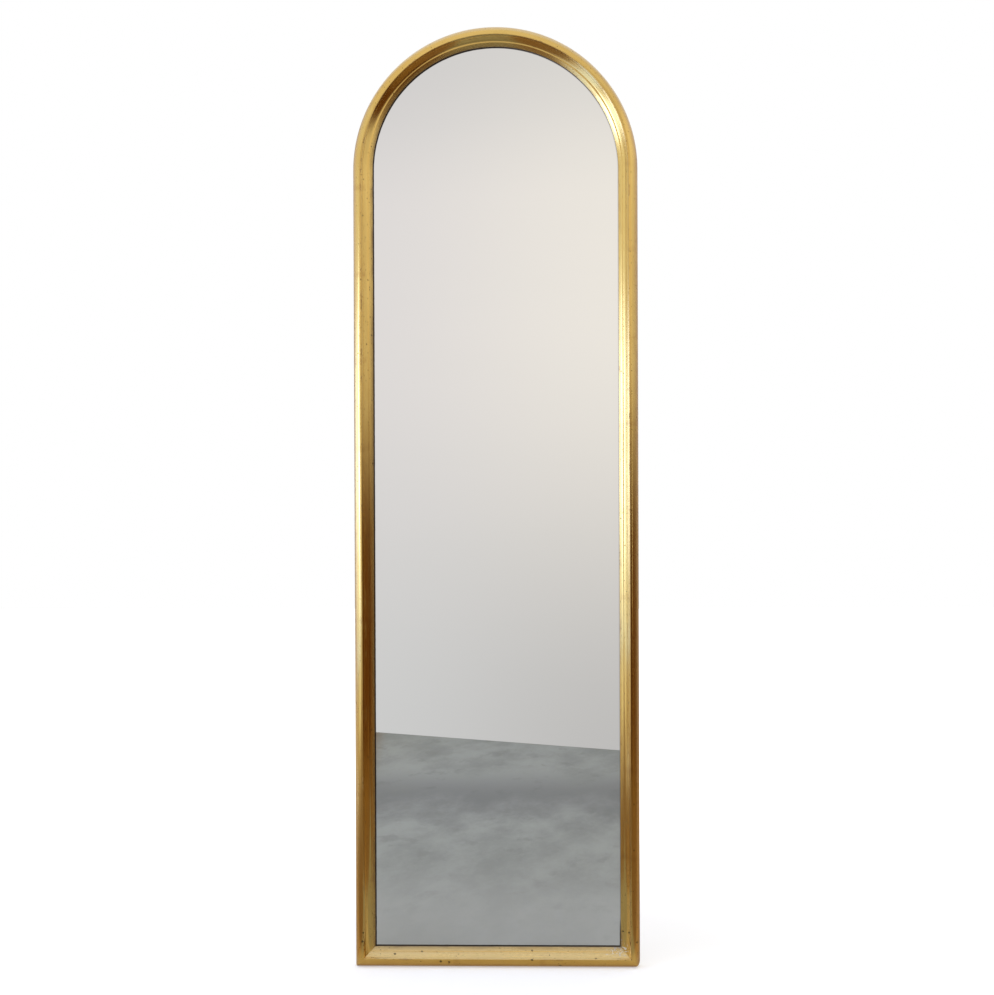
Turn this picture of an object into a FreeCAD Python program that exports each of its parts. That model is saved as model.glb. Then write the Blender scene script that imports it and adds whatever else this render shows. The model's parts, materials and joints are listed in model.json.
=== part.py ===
import FreeCAD, Part
import Sketcher
import math
import os
import re

# Arched wall mirror: a gilded moulding with a semicircular head, a silvered pane, a hardboard back held by
# turn buttons, and two D-ring hangers. Millimetres, +Z up, front towards -Y.
# The origin is at the middle of the bottom edge, on the plane of the frame's back.

SIZES = {
    # The whole frame
    "overall_width": (500, "outside width"),
    "overall_height": (1650, "bottom edge to crown"),
    # Section of the moulding: insets run inwards from the outer edge, heights run forwards from the back
    "moulding_width": (34, "outer edge to the visible glass"),
    "moulding_depth": (30, "back to crest"),
    "crest_inset": (15.5, "outer edge to the crest"),
    "shoulder_radius": (14, "radius of the rounded outer edge"),
    "shoulder_turn": (62, "degrees that the rounded outer edge turns through"),
    "crest_slope": (4, "slope of the flatter crown where it reaches the crest, degrees"),
    "arris_inset": (20, "outer edge to the arris between the two hollows"),
    "arris_height": (23, "height of that arris"),
    "upper_hollow_radius": (12, "radius of the steep hollow inside the crest"),
    "cove_inset": (27.5, "outer edge to the inner end of the lower hollow"),
    "cove_height": (18.5, "height of the inner end of the lower hollow"),
    "cove_radius": (13, "radius of the lower hollow"),
    "step_drop": (1, "small step between the lower hollow and the lip"),
    "lip_height": (14.5, "height of the sloping lip at its inner edge"),
    "sight_bevel": (0.4, "width of the steep bevel beside the glass"),
    "sight_land": (1, "square edge under the bevel"),
    "rebate_width": (9, "width of the rebate that holds the glass"),
    # What lies in the rebate
    "glass_thickness": (4, "silvered pane"),
    "glass_edge_gap": (2, "pane edge to rebate wall, filled by the shims"),
    "card_thickness": (2, "card behind the silvering"),
    "board_thickness": (3, "hardboard back"),
    "board_recess": (0.2, "back of the board below the back of the frame"),
    "backing_edge_gap": (1, "card and board edge to rebate wall"),
    "shim_length": (40, "cork shim"),
    "shim_bottom_spread": (260, "between the two bottom shims"),
    "shim_low_height": (300, "lower side shims above the bottom edge"),
    "shim_high_height": (1100, "upper side shims above the bottom edge"),
    # Dowels in the three butt joints of the head
    "dowel_diameter": (8, "dowel"),
    "dowel_length": (40, "dowel"),
    "dowel_clearance": (0.1, "radial room for glue"),
    "dowel_end_gap": (1, "room at each end of a dowel"),
    "dowel_outer_inset": (8.5, "outer dowel from the outer edge"),
    "dowel_outer_height": (9, "outer dowel from the back"),
    "dowel_inner_inset": (19, "inner dowel from the outer edge"),
    "dowel_inner_height": (13, "inner dowel from the back"),
    # Bent nails across the bottom mitres
    "nail_leg": (6, "length of each leg"),
    "nail_thickness": (0.6, "steel of the nail"),
    "nail_height": (10, "depth driven into the wood"),
    "nail_outer_inset": (6, "outer nail from both outer edges"),
    "nail_inner_inset": (17, "inner nail from both outer edges"),
    # Hangers
    "hanger_height": (1120, "swing axis of the rings above the bottom edge"),
    "strap_inset": (13.5, "middle of a strap from the outer edge"),
    "strap_width": (12, "folded strap"),
    "strap_length": (46, "swing axis to the lower end"),
    "strap_steel": (1, "thickness of the strip before it is folded"),
    "strap_hole_first": (13, "upper screw below the swing axis"),
    "strap_hole_pitch": (20, "between the two screws"),
    "strap_hole_clearance": (0.25, "radial room round a screw"),
    "ring_wire": (2.5, "diameter of the ring's wire"),
    "ring_width": (22, "between the middles of the ring's sides"),
    "ring_corner": (3, "radius of the lower corners"),
    "ring_side": (5, "straight length of a side"),
    "ring_seam": (0.4, "open seam in the middle of the leg"),
    "ring_clearance": (0.1, "radial room in the strap"),
    "ring_rest_gap": (0.2, "tip of the ring to the frame at rest"),
    "hanger_screw_diameter": (3.5, "shank"),
    "hanger_screw_length": (18, "under the head"),
    "hanger_screw_head_diameter": (7, "pan head"),
    "hanger_screw_head_height": (2.2, "pan head"),
    # Turn buttons
    "button_width": (12, "plate of a turn button"),
    "button_reach": (26, "pivot to the far end"),
    "button_thickness": (1.2, "plate of a turn button"),
    "button_inset": (19, "pivot from the outer edge"),
    "button_clearance": (0.1, "running room round and under a button"),
    "button_low_height": (220, "lowest buttons on the stiles"),
    "button_mid_height": (700, "middle buttons on the stiles"),
    "button_high_share": (0.5, "highest buttons, share of the way from the ring axis to the spring line"),
    "button_bottom_spread": (240, "between the two buttons on the bottom rail"),
    "button_arch_angle": (45, "buttons on the head, degrees above the spring line"),
    "button_screw_diameter": (3, "shank"),
    "button_screw_length": (14, "under the head"),
    "button_screw_head_diameter": (6, "pan head"),
    "button_screw_head_height": (2, "pan head"),
    # Shared by both kinds of screw
    "screw_tip": (4, "length of the point"),
    "screw_head_round": (1.2, "rounded edge of the head"),
    "screw_clearance": (0.05, "radial room in the pilot hole"),
    "screw_end_gap": (1, "pilot hole beyond the point"),
    "recess_span": (3.2, "cross recess, tip to tip"),
    "recess_width": (0.9, "cross recess, width of an arm"),
    "recess_depth": (1.2, "cross recess"),
    # Wall bumpers
    "bumper_diameter": (14, "foot of a bumper"),
    "bumper_height": (5, "stand-off from the wall"),
    "bumper_taper": (12, "slope of the side, degrees"),
    "bumper_inset": (13.5, "middle of a bumper from the outer edge"),
    "bumper_bottom": (52, "middle of a bumper above the bottom edge"),
    # How far a cutting outline reaches past the wood
    "cut_margin": (5, "overrun of the mitre cuts"),
}

# Lengths that follow from the sizes
HALF_WIDTH = "overall_width / 2"
SPRING = "(overall_height - overall_width / 2)"
REBATE_DEPTH = "(glass_thickness + card_thickness + board_thickness + board_recess)"
REBATE_INSET = "(moulding_width - rebate_width)"
SHOULDER_INSET = "(shoulder_radius * (1 - cos(shoulder_turn)))"
CROWN_RADIUS = f"((crest_inset - {SHOULDER_INSET}) / (cos(shoulder_turn) - sin(crest_slope)))"
SHOULDER_HEIGHT = f"(moulding_depth - {CROWN_RADIUS} * (cos(crest_slope) - sin(shoulder_turn)))"
OUTER_SIDE_HEIGHT = f"({SHOULDER_HEIGHT} - shoulder_radius * sin(shoulder_turn))"
BUTTON_BASE = "button_clearance"
BUTTON_HEIGHTS = {
    "low": "button_low_height",
    "mid": "button_mid_height",
    "high": f"(hanger_height + button_high_share * ({SPRING} - hanger_height))",
}
BUTTON_SCREW_SEAT = "(button_thickness + 2 * button_clearance)"
STRAP_THICKNESS = "(2 * strap_steel)"
RING_HEIGHT = "(ring_corner + ring_side + ring_width / 2)"
SWING_AXIS_OFFSET = "(ring_wire / 2 + ring_clearance + strap_steel)"

doc = FreeCAD.newDocument("arched_wall_mirror")
sheet = doc.addObject("Spreadsheet::Sheet", "Sizes")
for row, (alias, (amount, note)) in enumerate(SIZES.items(), start=1):
    sheet.set(f"A{row}", note)
    sheet.set(f"B{row}", str(amount))
    sheet.setAlias(f"B{row}", alias)
doc.recompute()


def ref(expression):
    """The expression with every size name pointing at the sheet."""
    def qualify(match):
        word = match.group(0)
        return f"Sizes.{word}" if word in SIZES else word
    return re.sub(r"[a-z_]+", qualify, expression)


def amount_of(expression):
    """The present value of an expression."""
    return float(sheet.evalExpression(ref(expression)))


# Sketching

def new_body(label):
    body = doc.addObject("PartDesign::Body", label)
    body.Label = label
    return body


def sketch_on(body, role, offset=None):
    """A sketch on one of the body's own origin planes, moved along the plane's normal by an offset."""
    sketch = body.newObject("Sketcher::SketchObject", "Sketch")
    plane = next(item for item in body.Origin.OriginFeatures if item.Role == role)
    sketch.AttachmentSupport = [(plane, "")]
    sketch.MapMode = "FlatFace"
    if offset is not None:
        sketch.setExpression("AttachmentOffset.Base.z", ref(offset))
    return sketch


def constrain(sketch, kind, *arguments, expression):
    index = sketch.addConstraint(Sketcher.Constraint(kind, *arguments, amount_of(expression)))
    sketch.setExpression(f"Constraints[{index}]", ref(expression))


def locate(sketch, geometry, point, x, y):
    """Ties a point of the sketch to its distances from the origin."""
    for kind, axis, expression in (("DistanceX", -2, x), ("DistanceY", -1, y)):
        amount = amount_of(expression)
        if amount > 0:
            constrain(sketch, kind, -1, 1, geometry, point, expression=expression)
        elif amount < 0:
            constrain(sketch, kind, geometry, point, -1, 1, expression=f"-({expression})")
        else:
            sketch.addConstraint(Sketcher.Constraint("PointOnObject", geometry, point, axis))


def arc_between(start, end, radius, turn):
    """An arc of less than a half circle, with turn 1 anticlockwise and -1 clockwise."""
    chord = end - start
    height = math.sqrt(radius ** 2 - (chord.Length / 2) ** 2)
    across = FreeCAD.Vector(-chord.y, chord.x, 0).normalize()
    centre = (start + end) / 2 + across * height * turn
    first, last = (start, end) if turn > 0 else (end, start)
    angles = [math.atan2(p.y - centre.y, p.x - centre.x) for p in (first, last)]
    if angles[1] < angles[0]:
        angles[1] += 2 * math.pi
    circle = Part.Circle(centre, FreeCAD.Vector(0, 0, 1), radius)
    return Part.ArcOfCircle(circle, *angles)


def outline(sketch, corners, closed=True):
    """A chain of lines and arcs. Each corner is (x, y), or (x, y, radius, turn) where an arc leaves it."""
    points = [FreeCAD.Vector(amount_of(c[0]), amount_of(c[1]), 0) for c in corners]
    edge_count = len(corners) if closed else len(corners) - 1
    ends = []
    for i in range(edge_count):
        start, end = points[i], points[(i + 1) % len(points)]
        if len(corners[i]) == 2:
            edge = sketch.addGeometry(Part.LineSegment(start, end))
            ends.append((edge, 1, 2))
            continue
        radius, turn = corners[i][2:]
        edge = sketch.addGeometry(arc_between(start, end, amount_of(radius), turn))
        constrain(sketch, "Radius", edge, expression=radius)
        ends.append((edge, 1, 2) if turn > 0 else (edge, 2, 1))
    for i, (edge, first, last) in enumerate(ends):
        locate(sketch, edge, first, *corners[i][:2])
        if closed or i + 1 < edge_count:
            following = ends[(i + 1) % edge_count]
            sketch.addConstraint(Sketcher.Constraint("Coincident", edge, last, following[0], following[1]))
        else:
            locate(sketch, edge, last, *corners[i + 1][:2])


def rectangle(sketch, x_low, x_high, y_low, y_high):
    outline(sketch, [(x_low, y_low), (x_high, y_low), (x_high, y_high), (x_low, y_high)])


def circle(sketch, x, y, diameter):
    centre = FreeCAD.Vector(amount_of(x), amount_of(y), 0)
    edge = sketch.addGeometry(Part.Circle(centre, FreeCAD.Vector(0, 0, 1), amount_of(diameter) / 2))
    locate(sketch, edge, 3, x, y)
    constrain(sketch, "Diameter", edge, expression=diameter)


# Features

def pad(body, sketch, length, reverse=False, symmetric=False):
    feature = body.newObject("PartDesign::Pad", "Pad")
    feature.Profile = sketch
    feature.setExpression("Length", ref(length))
    feature.Reversed = reverse
    feature.SideType = "Symmetric" if symmetric else "One side"
    doc.recompute()
    return feature


def pocket(body, sketch, length, reverse=False, symmetric=False):
    """A cut that must take something away."""
    before = body.Shape.Volume
    feature = body.newObject("PartDesign::Pocket", "Pocket")
    feature.Profile = sketch
    feature.setExpression("Length", ref(length))
    feature.Reversed = reverse
    feature.SideType = "Symmetric" if symmetric else "One side"
    doc.recompute()
    if not body.Shape.Volume < before:
        raise RuntimeError(f"a cut in {body.Label} takes nothing away")
    return feature


def revolve(body, sketch, angle, reverse=False):
    """Turns the sketch about the body's Y axis."""
    feature = body.newObject("PartDesign::Revolution", "Revolution")
    feature.Profile = sketch
    axis = next(item for item in body.Origin.OriginFeatures if item.Role == "Y_Axis")
    feature.ReferenceAxis = (axis, [""])
    feature.Angle = angle
    feature.Reversed = reverse
    doc.recompute()
    return feature


def place(item, x="0", y="0", z="0", rotation=None):
    """Turns an object, then ties its position to the sizes."""
    if rotation is not None:
        item.Placement = FreeCAD.Placement(FreeCAD.Vector(), rotation)
    for axis, expression in (("x", x), ("y", y), ("z", z)):
        item.setExpression(f"Placement.Base.{axis}", ref(expression))


def mirrored(source, label):
    """The right-hand twin of a left-hand piece."""
    twin = doc.addObject("Part::Mirroring", label)
    twin.Label = label
    twin.Source = source
    twin.Base = (0, 0, 0)
    twin.Normal = (1, 0, 0)
    return twin


def group(label, pieces):
    """Identical pieces that share one node."""
    compound = doc.addObject("Part::Compound", label)
    compound.Label = label
    compound.Links = pieces
    return compound


# Moulding: in each member's own frame x runs inwards from the outer edge and y runs forwards from the back

def moulding_section(body, edge="0"):
    sketch = sketch_on(body, "XY_Plane")
    sight_edge = f"{edge} + moulding_width"
    outline(sketch, [
        (edge, "0"),
        (edge, OUTER_SIDE_HEIGHT, "shoulder_radius", -1),
        (f"{edge} + {SHOULDER_INSET}", SHOULDER_HEIGHT, CROWN_RADIUS, -1),
        (f"{edge} + crest_inset", "moulding_depth", "upper_hollow_radius", 1),
        (f"{edge} + arris_inset", "arris_height", "cove_radius", 1),
        (f"{edge} + cove_inset", "cove_height"),
        (f"{edge} + cove_inset", "cove_height - step_drop"),
        (f"{sight_edge} - sight_bevel", "lip_height"),
        (sight_edge, f"{REBATE_DEPTH} + sight_land"),
        (sight_edge, REBATE_DEPTH),
        (f"{sight_edge} - rebate_width", REBATE_DEPTH),
        (f"{sight_edge} - rebate_width", "0"),
    ])
    return sketch


def dowel_holes(body, sketch, spots, reverse):
    for x, y in spots:
        circle(sketch, x, y, "dowel_diameter + 2 * dowel_clearance")
    pocket(body, sketch, "dowel_length / 2 + dowel_end_gap", reverse)


def nail_outlines(sketch, along, up, swap=False):
    """The two bent nails of one mitre, where along and up turn an inset into a coordinate."""
    for inset in ("nail_outer_inset", "nail_inner_inset"):
        inner = f"{inset} + nail_thickness"
        tip = f"{inset} + nail_leg"
        bends = [(inset, inset), (tip, inset), (tip, inner), (inner, inner), (inner, tip), (inset, tip)]
        spots = [(along(a), up(b)) for a, b in bends]
        outline(sketch, [(y, x) for x, y in spots] if swap else spots)


def pilot_holes(body, kind, seat, spots):
    """Holes for one kind of screw, drilled from the back of the frame."""
    sketch = sketch_on(body, "XZ_Plane")
    for x, y in spots:
        circle(sketch, x, y, f"{kind}_diameter + 2 * screw_clearance")
    pocket(body, sketch, f"{kind}_length - {seat} + screw_end_gap")


def make_stile():
    """The left stile, built downwards from the spring line to its mitre."""
    body = new_body("left_stile")
    pad(body, moulding_section(body), SPRING)
    mitre = sketch_on(body, "XZ_Plane")
    outline(mitre, [
        ("-cut_margin", f"{SPRING} + cut_margin"),
        ("moulding_width + cut_margin", f"{SPRING} - moulding_width - cut_margin"),
        ("moulding_width + cut_margin", f"{SPRING} + cut_margin"),
    ])
    pocket(body, mitre, "moulding_depth + cut_margin")
    dowel_holes(body, sketch_on(body, "XY_Plane"), [
        ("dowel_outer_inset", "dowel_outer_height"),
        ("dowel_inner_inset", "dowel_inner_height"),
    ], reverse=True)
    nails = sketch_on(body, "XZ_Plane")
    nail_outlines(nails, lambda a: a, lambda b: f"{SPRING} - ({b})")
    pocket(body, nails, "nail_height")
    pilot_holes(body, "button_screw", BUTTON_SCREW_SEAT, [
        ("button_inset", f"{SPRING} - {height}") for height in BUTTON_HEIGHTS.values()
    ])
    pilot_holes(body, "hanger_screw", STRAP_THICKNESS, [
        ("strap_inset", f"{SPRING} - ({height})") for height in STRAP_SCREW_HEIGHTS
    ])
    turned = FreeCAD.Rotation(FreeCAD.Vector(1, 0, 0), 180)
    place(body, x=f"-{HALF_WIDTH}", z=SPRING, rotation=turned)
    return body


def make_bottom_rail():
    """The bottom rail, along X, mitred at both ends."""
    body = new_body("bottom_rail")
    pad(body, moulding_section(body), "overall_width", symmetric=True)
    mitres = sketch_on(body, "XZ_Plane")
    for side in ("-", ""):
        outline(mitres, [
            ("-cut_margin", f"{side}({HALF_WIDTH} + cut_margin)"),
            ("moulding_width + cut_margin", f"{side}({HALF_WIDTH} - moulding_width - cut_margin)"),
            ("moulding_width + cut_margin", f"{side}({HALF_WIDTH} + cut_margin)"),
        ])
    pocket(body, mitres, "moulding_depth + cut_margin")
    nails = sketch_on(body, "XZ_Plane")
    for side in ("-", ""):
        nail_outlines(nails, lambda a: f"{side}({HALF_WIDTH} - ({a}))", lambda b: b, swap=True)
    pocket(body, nails, "nail_height")
    pilot_holes(body, "button_screw", BUTTON_SCREW_SEAT, [
        ("button_inset", f"{side}button_bottom_spread / 2") for side in ("-", "")
    ])
    turned = FreeCAD.Rotation(FreeCAD.Vector(0, 0, 1), FreeCAD.Vector(0, -1, 0), FreeCAD.Vector(1, 0, 0))
    place(body, rotation=turned)
    return body


def make_arch():
    """The left quarter of the head, turned about the middle of the arch."""
    body = new_body("arch_left")
    revolve(body, moulding_section(body, f"-{HALF_WIDTH}"), 90, reverse=True)
    dowel_holes(body, sketch_on(body, "XY_Plane"), [
        (f"dowel_outer_inset - {HALF_WIDTH}", "dowel_outer_height"),
        (f"dowel_inner_inset - {HALF_WIDTH}", "dowel_inner_height"),
    ], reverse=False)
    dowel_holes(body, sketch_on(body, "YZ_Plane"), [
        ("dowel_outer_height", f"dowel_outer_inset - {HALF_WIDTH}"),
        ("dowel_inner_height", f"dowel_inner_inset - {HALF_WIDTH}"),
    ], reverse=False)
    pilot_holes(body, "button_screw", BUTTON_SCREW_SEAT, [
        (f"-{ARCH_BUTTON_ACROSS}", f"-{ARCH_BUTTON_UP}"),
    ])
    turned = FreeCAD.Rotation(FreeCAD.Vector(1, 0, 0), 180)
    place(body, z=SPRING, rotation=turned)
    return body


def make_dowels():
    """Two dowels across each spring joint and two across the crown."""
    body = new_body("frame_dowels")
    upright = sketch_on(body, "XY_Plane", f"{SPRING} - dowel_length / 2")
    level = sketch_on(body, "YZ_Plane", "-dowel_length / 2")
    for row in ("outer", "inner"):
        inset, height = f"dowel_{row}_inset", f"dowel_{row}_height"
        for side in ("-", ""):
            circle(upright, f"{side}({HALF_WIDTH} - {inset})", f"-{height}", "dowel_diameter")
        circle(level, f"-{height}", f"overall_height - {inset}", "dowel_diameter")
    pad(body, upright, "dowel_length")
    pad(body, level, "dowel_length")
    return body


def make_nails():
    body = new_body("mitre_v_nails")
    sketch = sketch_on(body, "XZ_Plane")
    for side in ("-", ""):
        nail_outlines(sketch, lambda a: f"{side}({HALF_WIDTH} - ({a}))", lambda b: b)
    pad(body, sketch, "nail_height")
    return body


# What lies in the rebate, each layer drawn from behind and built forwards

def arched_sheet(label, gap, thickness, back):
    """A sheet with the outline of the rebate less a gap all round."""
    body = new_body(label)
    sketch = sketch_on(body, "XZ_Plane")
    inset = f"({REBATE_INSET} + {gap})"
    half = f"({HALF_WIDTH} - {inset})"
    outline(sketch, [
        (f"-{half}", inset),
        (half, inset),
        (half, SPRING, half, 1),
        ("0", f"{SPRING} + {half}", half, 1),
        (f"-{half}", SPRING),
    ])
    pad(body, sketch, thickness)
    place(body, y=f"-({back})")
    return body


def make_shims():
    """Cork shims under and beside the pane."""
    body = new_body("glass_shims")
    sketch = sketch_on(body, "XZ_Plane")
    pane_inset = f"({REBATE_INSET} + glass_edge_gap)"
    for side in ("-", ""):
        middle = f"{side}shim_bottom_spread / 2"
        ends = (f"{middle} - shim_length / 2", f"{middle} + shim_length / 2")
        rectangle(sketch, *ends, REBATE_INSET, pane_inset)
        walls = (f"{side}({HALF_WIDTH} - {REBATE_INSET})", f"{side}({HALF_WIDTH} - {pane_inset})")
        for height in ("shim_low_height", "shim_high_height"):
            rectangle(sketch, *walls, f"{height} - shim_length / 2", f"{height} + shim_length / 2")
    pad(body, sketch, "glass_thickness")
    place(body, y=f"-({GLASS_BACK})")
    return body


# Hardware on the back

def make_button(name, x, z, angle):
    """A flat plate with round ends, pointing inwards from its pivot."""
    body = new_body(f"turn_button_{name}")
    sketch = sketch_on(body, "XZ_Plane")
    radius = "button_width / 2"
    far = f"(button_reach - {radius})"
    outline(sketch, [
        ("0", f"-{radius}"),
        (far, f"-{radius}", radius, 1),
        ("button_reach", "0", radius, 1),
        (far, radius),
        ("0", radius, radius, 1),
        (f"-{radius}", "0", radius, 1),
    ])
    circle(sketch, "0", "0", "button_screw_diameter + 2 * button_clearance")
    pad(body, sketch, "button_thickness", reverse=True)
    place(body, x, BUTTON_BASE, z, FreeCAD.Rotation(FreeCAD.Vector(0, 1, 0), angle))
    return body


def make_screw(kind):
    """A pan-head wood screw along Y, with the underside of its head at the origin."""
    body = new_body(f"{kind}_pattern")
    profile = sketch_on(body, "XY_Plane")
    head_radius, shank = f"{kind}_head_diameter / 2", f"{kind}_diameter / 2"
    head_height, length = f"{kind}_head_height", f"{kind}_length"
    outline(profile, [
        ("0", f"-{length}"),
        (shank, f"screw_tip - {length}"),
        (shank, "0"),
        (head_radius, "0"),
        (head_radius, f"{head_height} - screw_head_round", "screw_head_round", 1),
        (f"{head_radius} - screw_head_round", head_height),
        ("0", head_height),
    ])
    revolve(body, profile, 360)
    cross = sketch_on(body, "XZ_Plane", f"-{head_height}")
    arm, side = "recess_span / 2", "recess_width / 2"
    quarter = [(arm, f"-{side}"), (arm, side), (side, side)]
    corners = list(quarter)
    for _ in range(3):
        quarter = [(f"-({y})", x) for x, y in quarter]
        corners += quarter
    outline(cross, corners)
    pocket(body, cross, "recess_depth", reverse=True)
    return body


def screw_group(label, pattern, seat, spots):
    links = []
    for x, z in spots:
        link = doc.addObject("App::Link", f"{label}_copy")
        link.LinkedObject = pattern
        place(link, x, seat, z)
        links.append(link)
    return group(label, links)


def make_strap():
    """The left strap: a strip folded round the ring's leg, with its two layers flat on the frame."""
    body = new_body("hanger_strap_left")
    plate = sketch_on(body, "XZ_Plane")
    half = "strap_width / 2"
    outline(plate, [
        (half, "0"),
        (f"-{half}", "0"),
        (f"-{half}", f"{half} - strap_length", half, 1),
        ("0", "-strap_length", half, 1),
        (half, f"{half} - strap_length"),
    ])
    pad(body, plate, STRAP_THICKNESS, reverse=True)
    fold = sketch_on(body, "YZ_Plane")
    circle(fold, SWING_AXIS_OFFSET, "0", f"2 * {SWING_AXIS_OFFSET}")
    pad(body, fold, "strap_width", symmetric=True)
    bore = sketch_on(body, "YZ_Plane")
    circle(bore, SWING_AXIS_OFFSET, "0", "ring_wire + 2 * ring_clearance")
    pocket(body, bore, "strap_width + cut_margin", symmetric=True)
    holes = sketch_on(body, "XZ_Plane")
    for drop in ("strap_hole_first", "strap_hole_first + strap_hole_pitch"):
        circle(holes, "0", f"-({drop})", "hanger_screw_diameter + 2 * strap_hole_clearance")
    pocket(body, holes, STRAP_THICKNESS)
    place(body, x=HANGER_ACROSS, z="hanger_height")
    return body


def make_ring():
    """The left D-ring: bent wire with its open seam hidden in the strap, leaning on the frame at rest."""
    body = new_body("hanger_ring_left")
    path = sketch_on(body, "XZ_Plane")
    half, corner = "ring_width / 2", "ring_corner"
    shoulder = "(ring_corner + ring_side)"
    outline(path, [
        ("ring_seam / 2", "0"),
        (f"{half} - {corner}", "0", corner, 1),
        (half, corner),
        (half, shoulder, half, 1),
        ("0", RING_HEIGHT, half, 1),
        (f"-{half}", shoulder),
        (f"-{half}", corner, corner, 1),
        (f"{corner} - {half}", "0"),
        ("-ring_seam / 2", "0"),
    ], closed=False)
    section = sketch_on(body, "YZ_Plane", "ring_seam / 2")
    circle(section, "0", "0", "ring_wire")
    pipe = body.newObject("PartDesign::AdditivePipe", "Pipe")
    pipe.Profile = section
    pipe.Spine = (path, [f"Edge{i + 1}" for i in range(path.GeometryCount)])
    about_x = FreeCAD.Rotation(FreeCAD.Vector(1, 0, 0), 1)
    place(body, HANGER_ACROSS, SWING_AXIS_OFFSET, "hanger_height", about_x)
    lean = f"asin(({SWING_AXIS_OFFSET} - ring_wire / 2 - ring_rest_gap) / {RING_HEIGHT})"
    body.setExpression("Placement.Rotation.Angle", ref(lean))
    doc.recompute()
    return body


def make_bumpers():
    body = new_body("wall_bumpers")
    sketch = sketch_on(body, "XZ_Plane")
    for side in ("-", ""):
        circle(sketch, f"{side}({HALF_WIDTH} - bumper_inset)", "bumper_bottom", "bumper_diameter")
    feature = pad(body, sketch, "bumper_height", reverse=True)
    feature.setExpression("TaperAngle", ref("-bumper_taper"))
    return body


# Places that two or more pieces share
GLASS_BACK = "board_recess + board_thickness + card_thickness"
STRAP_SCREW_HEIGHTS = [
    "hanger_height - strap_hole_first",
    "hanger_height - strap_hole_first - strap_hole_pitch",
]
HANGER_ACROSS = f"-({HALF_WIDTH} - strap_inset)"
ARCH_BUTTON_ACROSS = f"({HALF_WIDTH} - button_inset) * cos(button_arch_angle)"
ARCH_BUTTON_UP = f"({HALF_WIDTH} - button_inset) * sin(button_arch_angle)"

# Every turn button's pivot, and the angle that points it inwards
ARCH_ANGLE = amount_of("button_arch_angle")
BUTTONS = {}
for level, height in BUTTON_HEIGHTS.items():
    BUTTONS[f"left_{level}"] = (f"-({HALF_WIDTH} - button_inset)", height, 0)
    BUTTONS[f"right_{level}"] = (f"{HALF_WIDTH} - button_inset", height, 180)
BUTTONS["arch_left"] = (f"-{ARCH_BUTTON_ACROSS}", f"{SPRING} + {ARCH_BUTTON_UP}", ARCH_ANGLE)
BUTTONS["arch_right"] = (ARCH_BUTTON_ACROSS, f"{SPRING} + {ARCH_BUTTON_UP}", 180 - ARCH_ANGLE)
BUTTONS["bottom_left"] = ("-button_bottom_spread / 2", "button_inset", -90)
BUTTONS["bottom_right"] = ("button_bottom_spread / 2", "button_inset", -90)

# The assembly
stile = make_stile()
arch = make_arch()
strap = make_strap()
ring = make_ring()
nodes = [
    stile,
    mirrored(stile, "right_stile"),
    make_bottom_rail(),
    arch,
    mirrored(arch, "arch_right"),
    make_dowels(),
    make_nails(),
    arched_sheet("mirror_glass", "glass_edge_gap", "glass_thickness", GLASS_BACK),
    make_shims(),
    arched_sheet("backing_card", "backing_edge_gap", "card_thickness", "board_recess + board_thickness"),
    arched_sheet("back_board", "backing_edge_gap", "board_thickness", "board_recess"),
    strap,
    mirrored(strap, "hanger_strap_right"),
    ring,
    mirrored(ring, "hanger_ring_right"),
    screw_group("hanger_screws", make_screw("hanger_screw"), STRAP_THICKNESS, [
        (f"{side}({HALF_WIDTH} - strap_inset)", height)
        for side in ("-", "")
        for height in STRAP_SCREW_HEIGHTS
    ]),
    screw_group("turn_button_screws", make_screw("button_screw"), BUTTON_SCREW_SEAT, [
        (x, z) for x, z, _ in BUTTONS.values()
    ]),
    make_bumpers(),
]
nodes += [make_button(name, *spot) for name, spot in BUTTONS.items()]
doc.recompute()

for item in doc.Objects:
    if "Invalid" in item.State or "Error" in item.State:
        raise RuntimeError(f"{item.Label} did not build: {item.State}")
for node in nodes:
    if node.Shape.isNull() or not node.Shape.isValid():
        raise RuntimeError(f"{node.Label} has no valid shape")

os.makedirs("parts", exist_ok=True)
for node in nodes:
    node.Shape.exportStep(f"parts/{node.Label}.step")
    print(f"{node.Label}: {len(node.Shape.Solids)} solid(s), {node.Shape.Volume:.1f} mm3")
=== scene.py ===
"""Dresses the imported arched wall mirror: gilded mouldings, pane, backing, hardware and a plain studio."""

import json
import math

import bmesh
import bpy
from bpy.props import FloatProperty, FloatVectorProperty, PointerProperty
from bpy.types import NodeSocket, Operator, Panel, PropertyGroup
from mathutils import Matrix, Vector, noise

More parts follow.
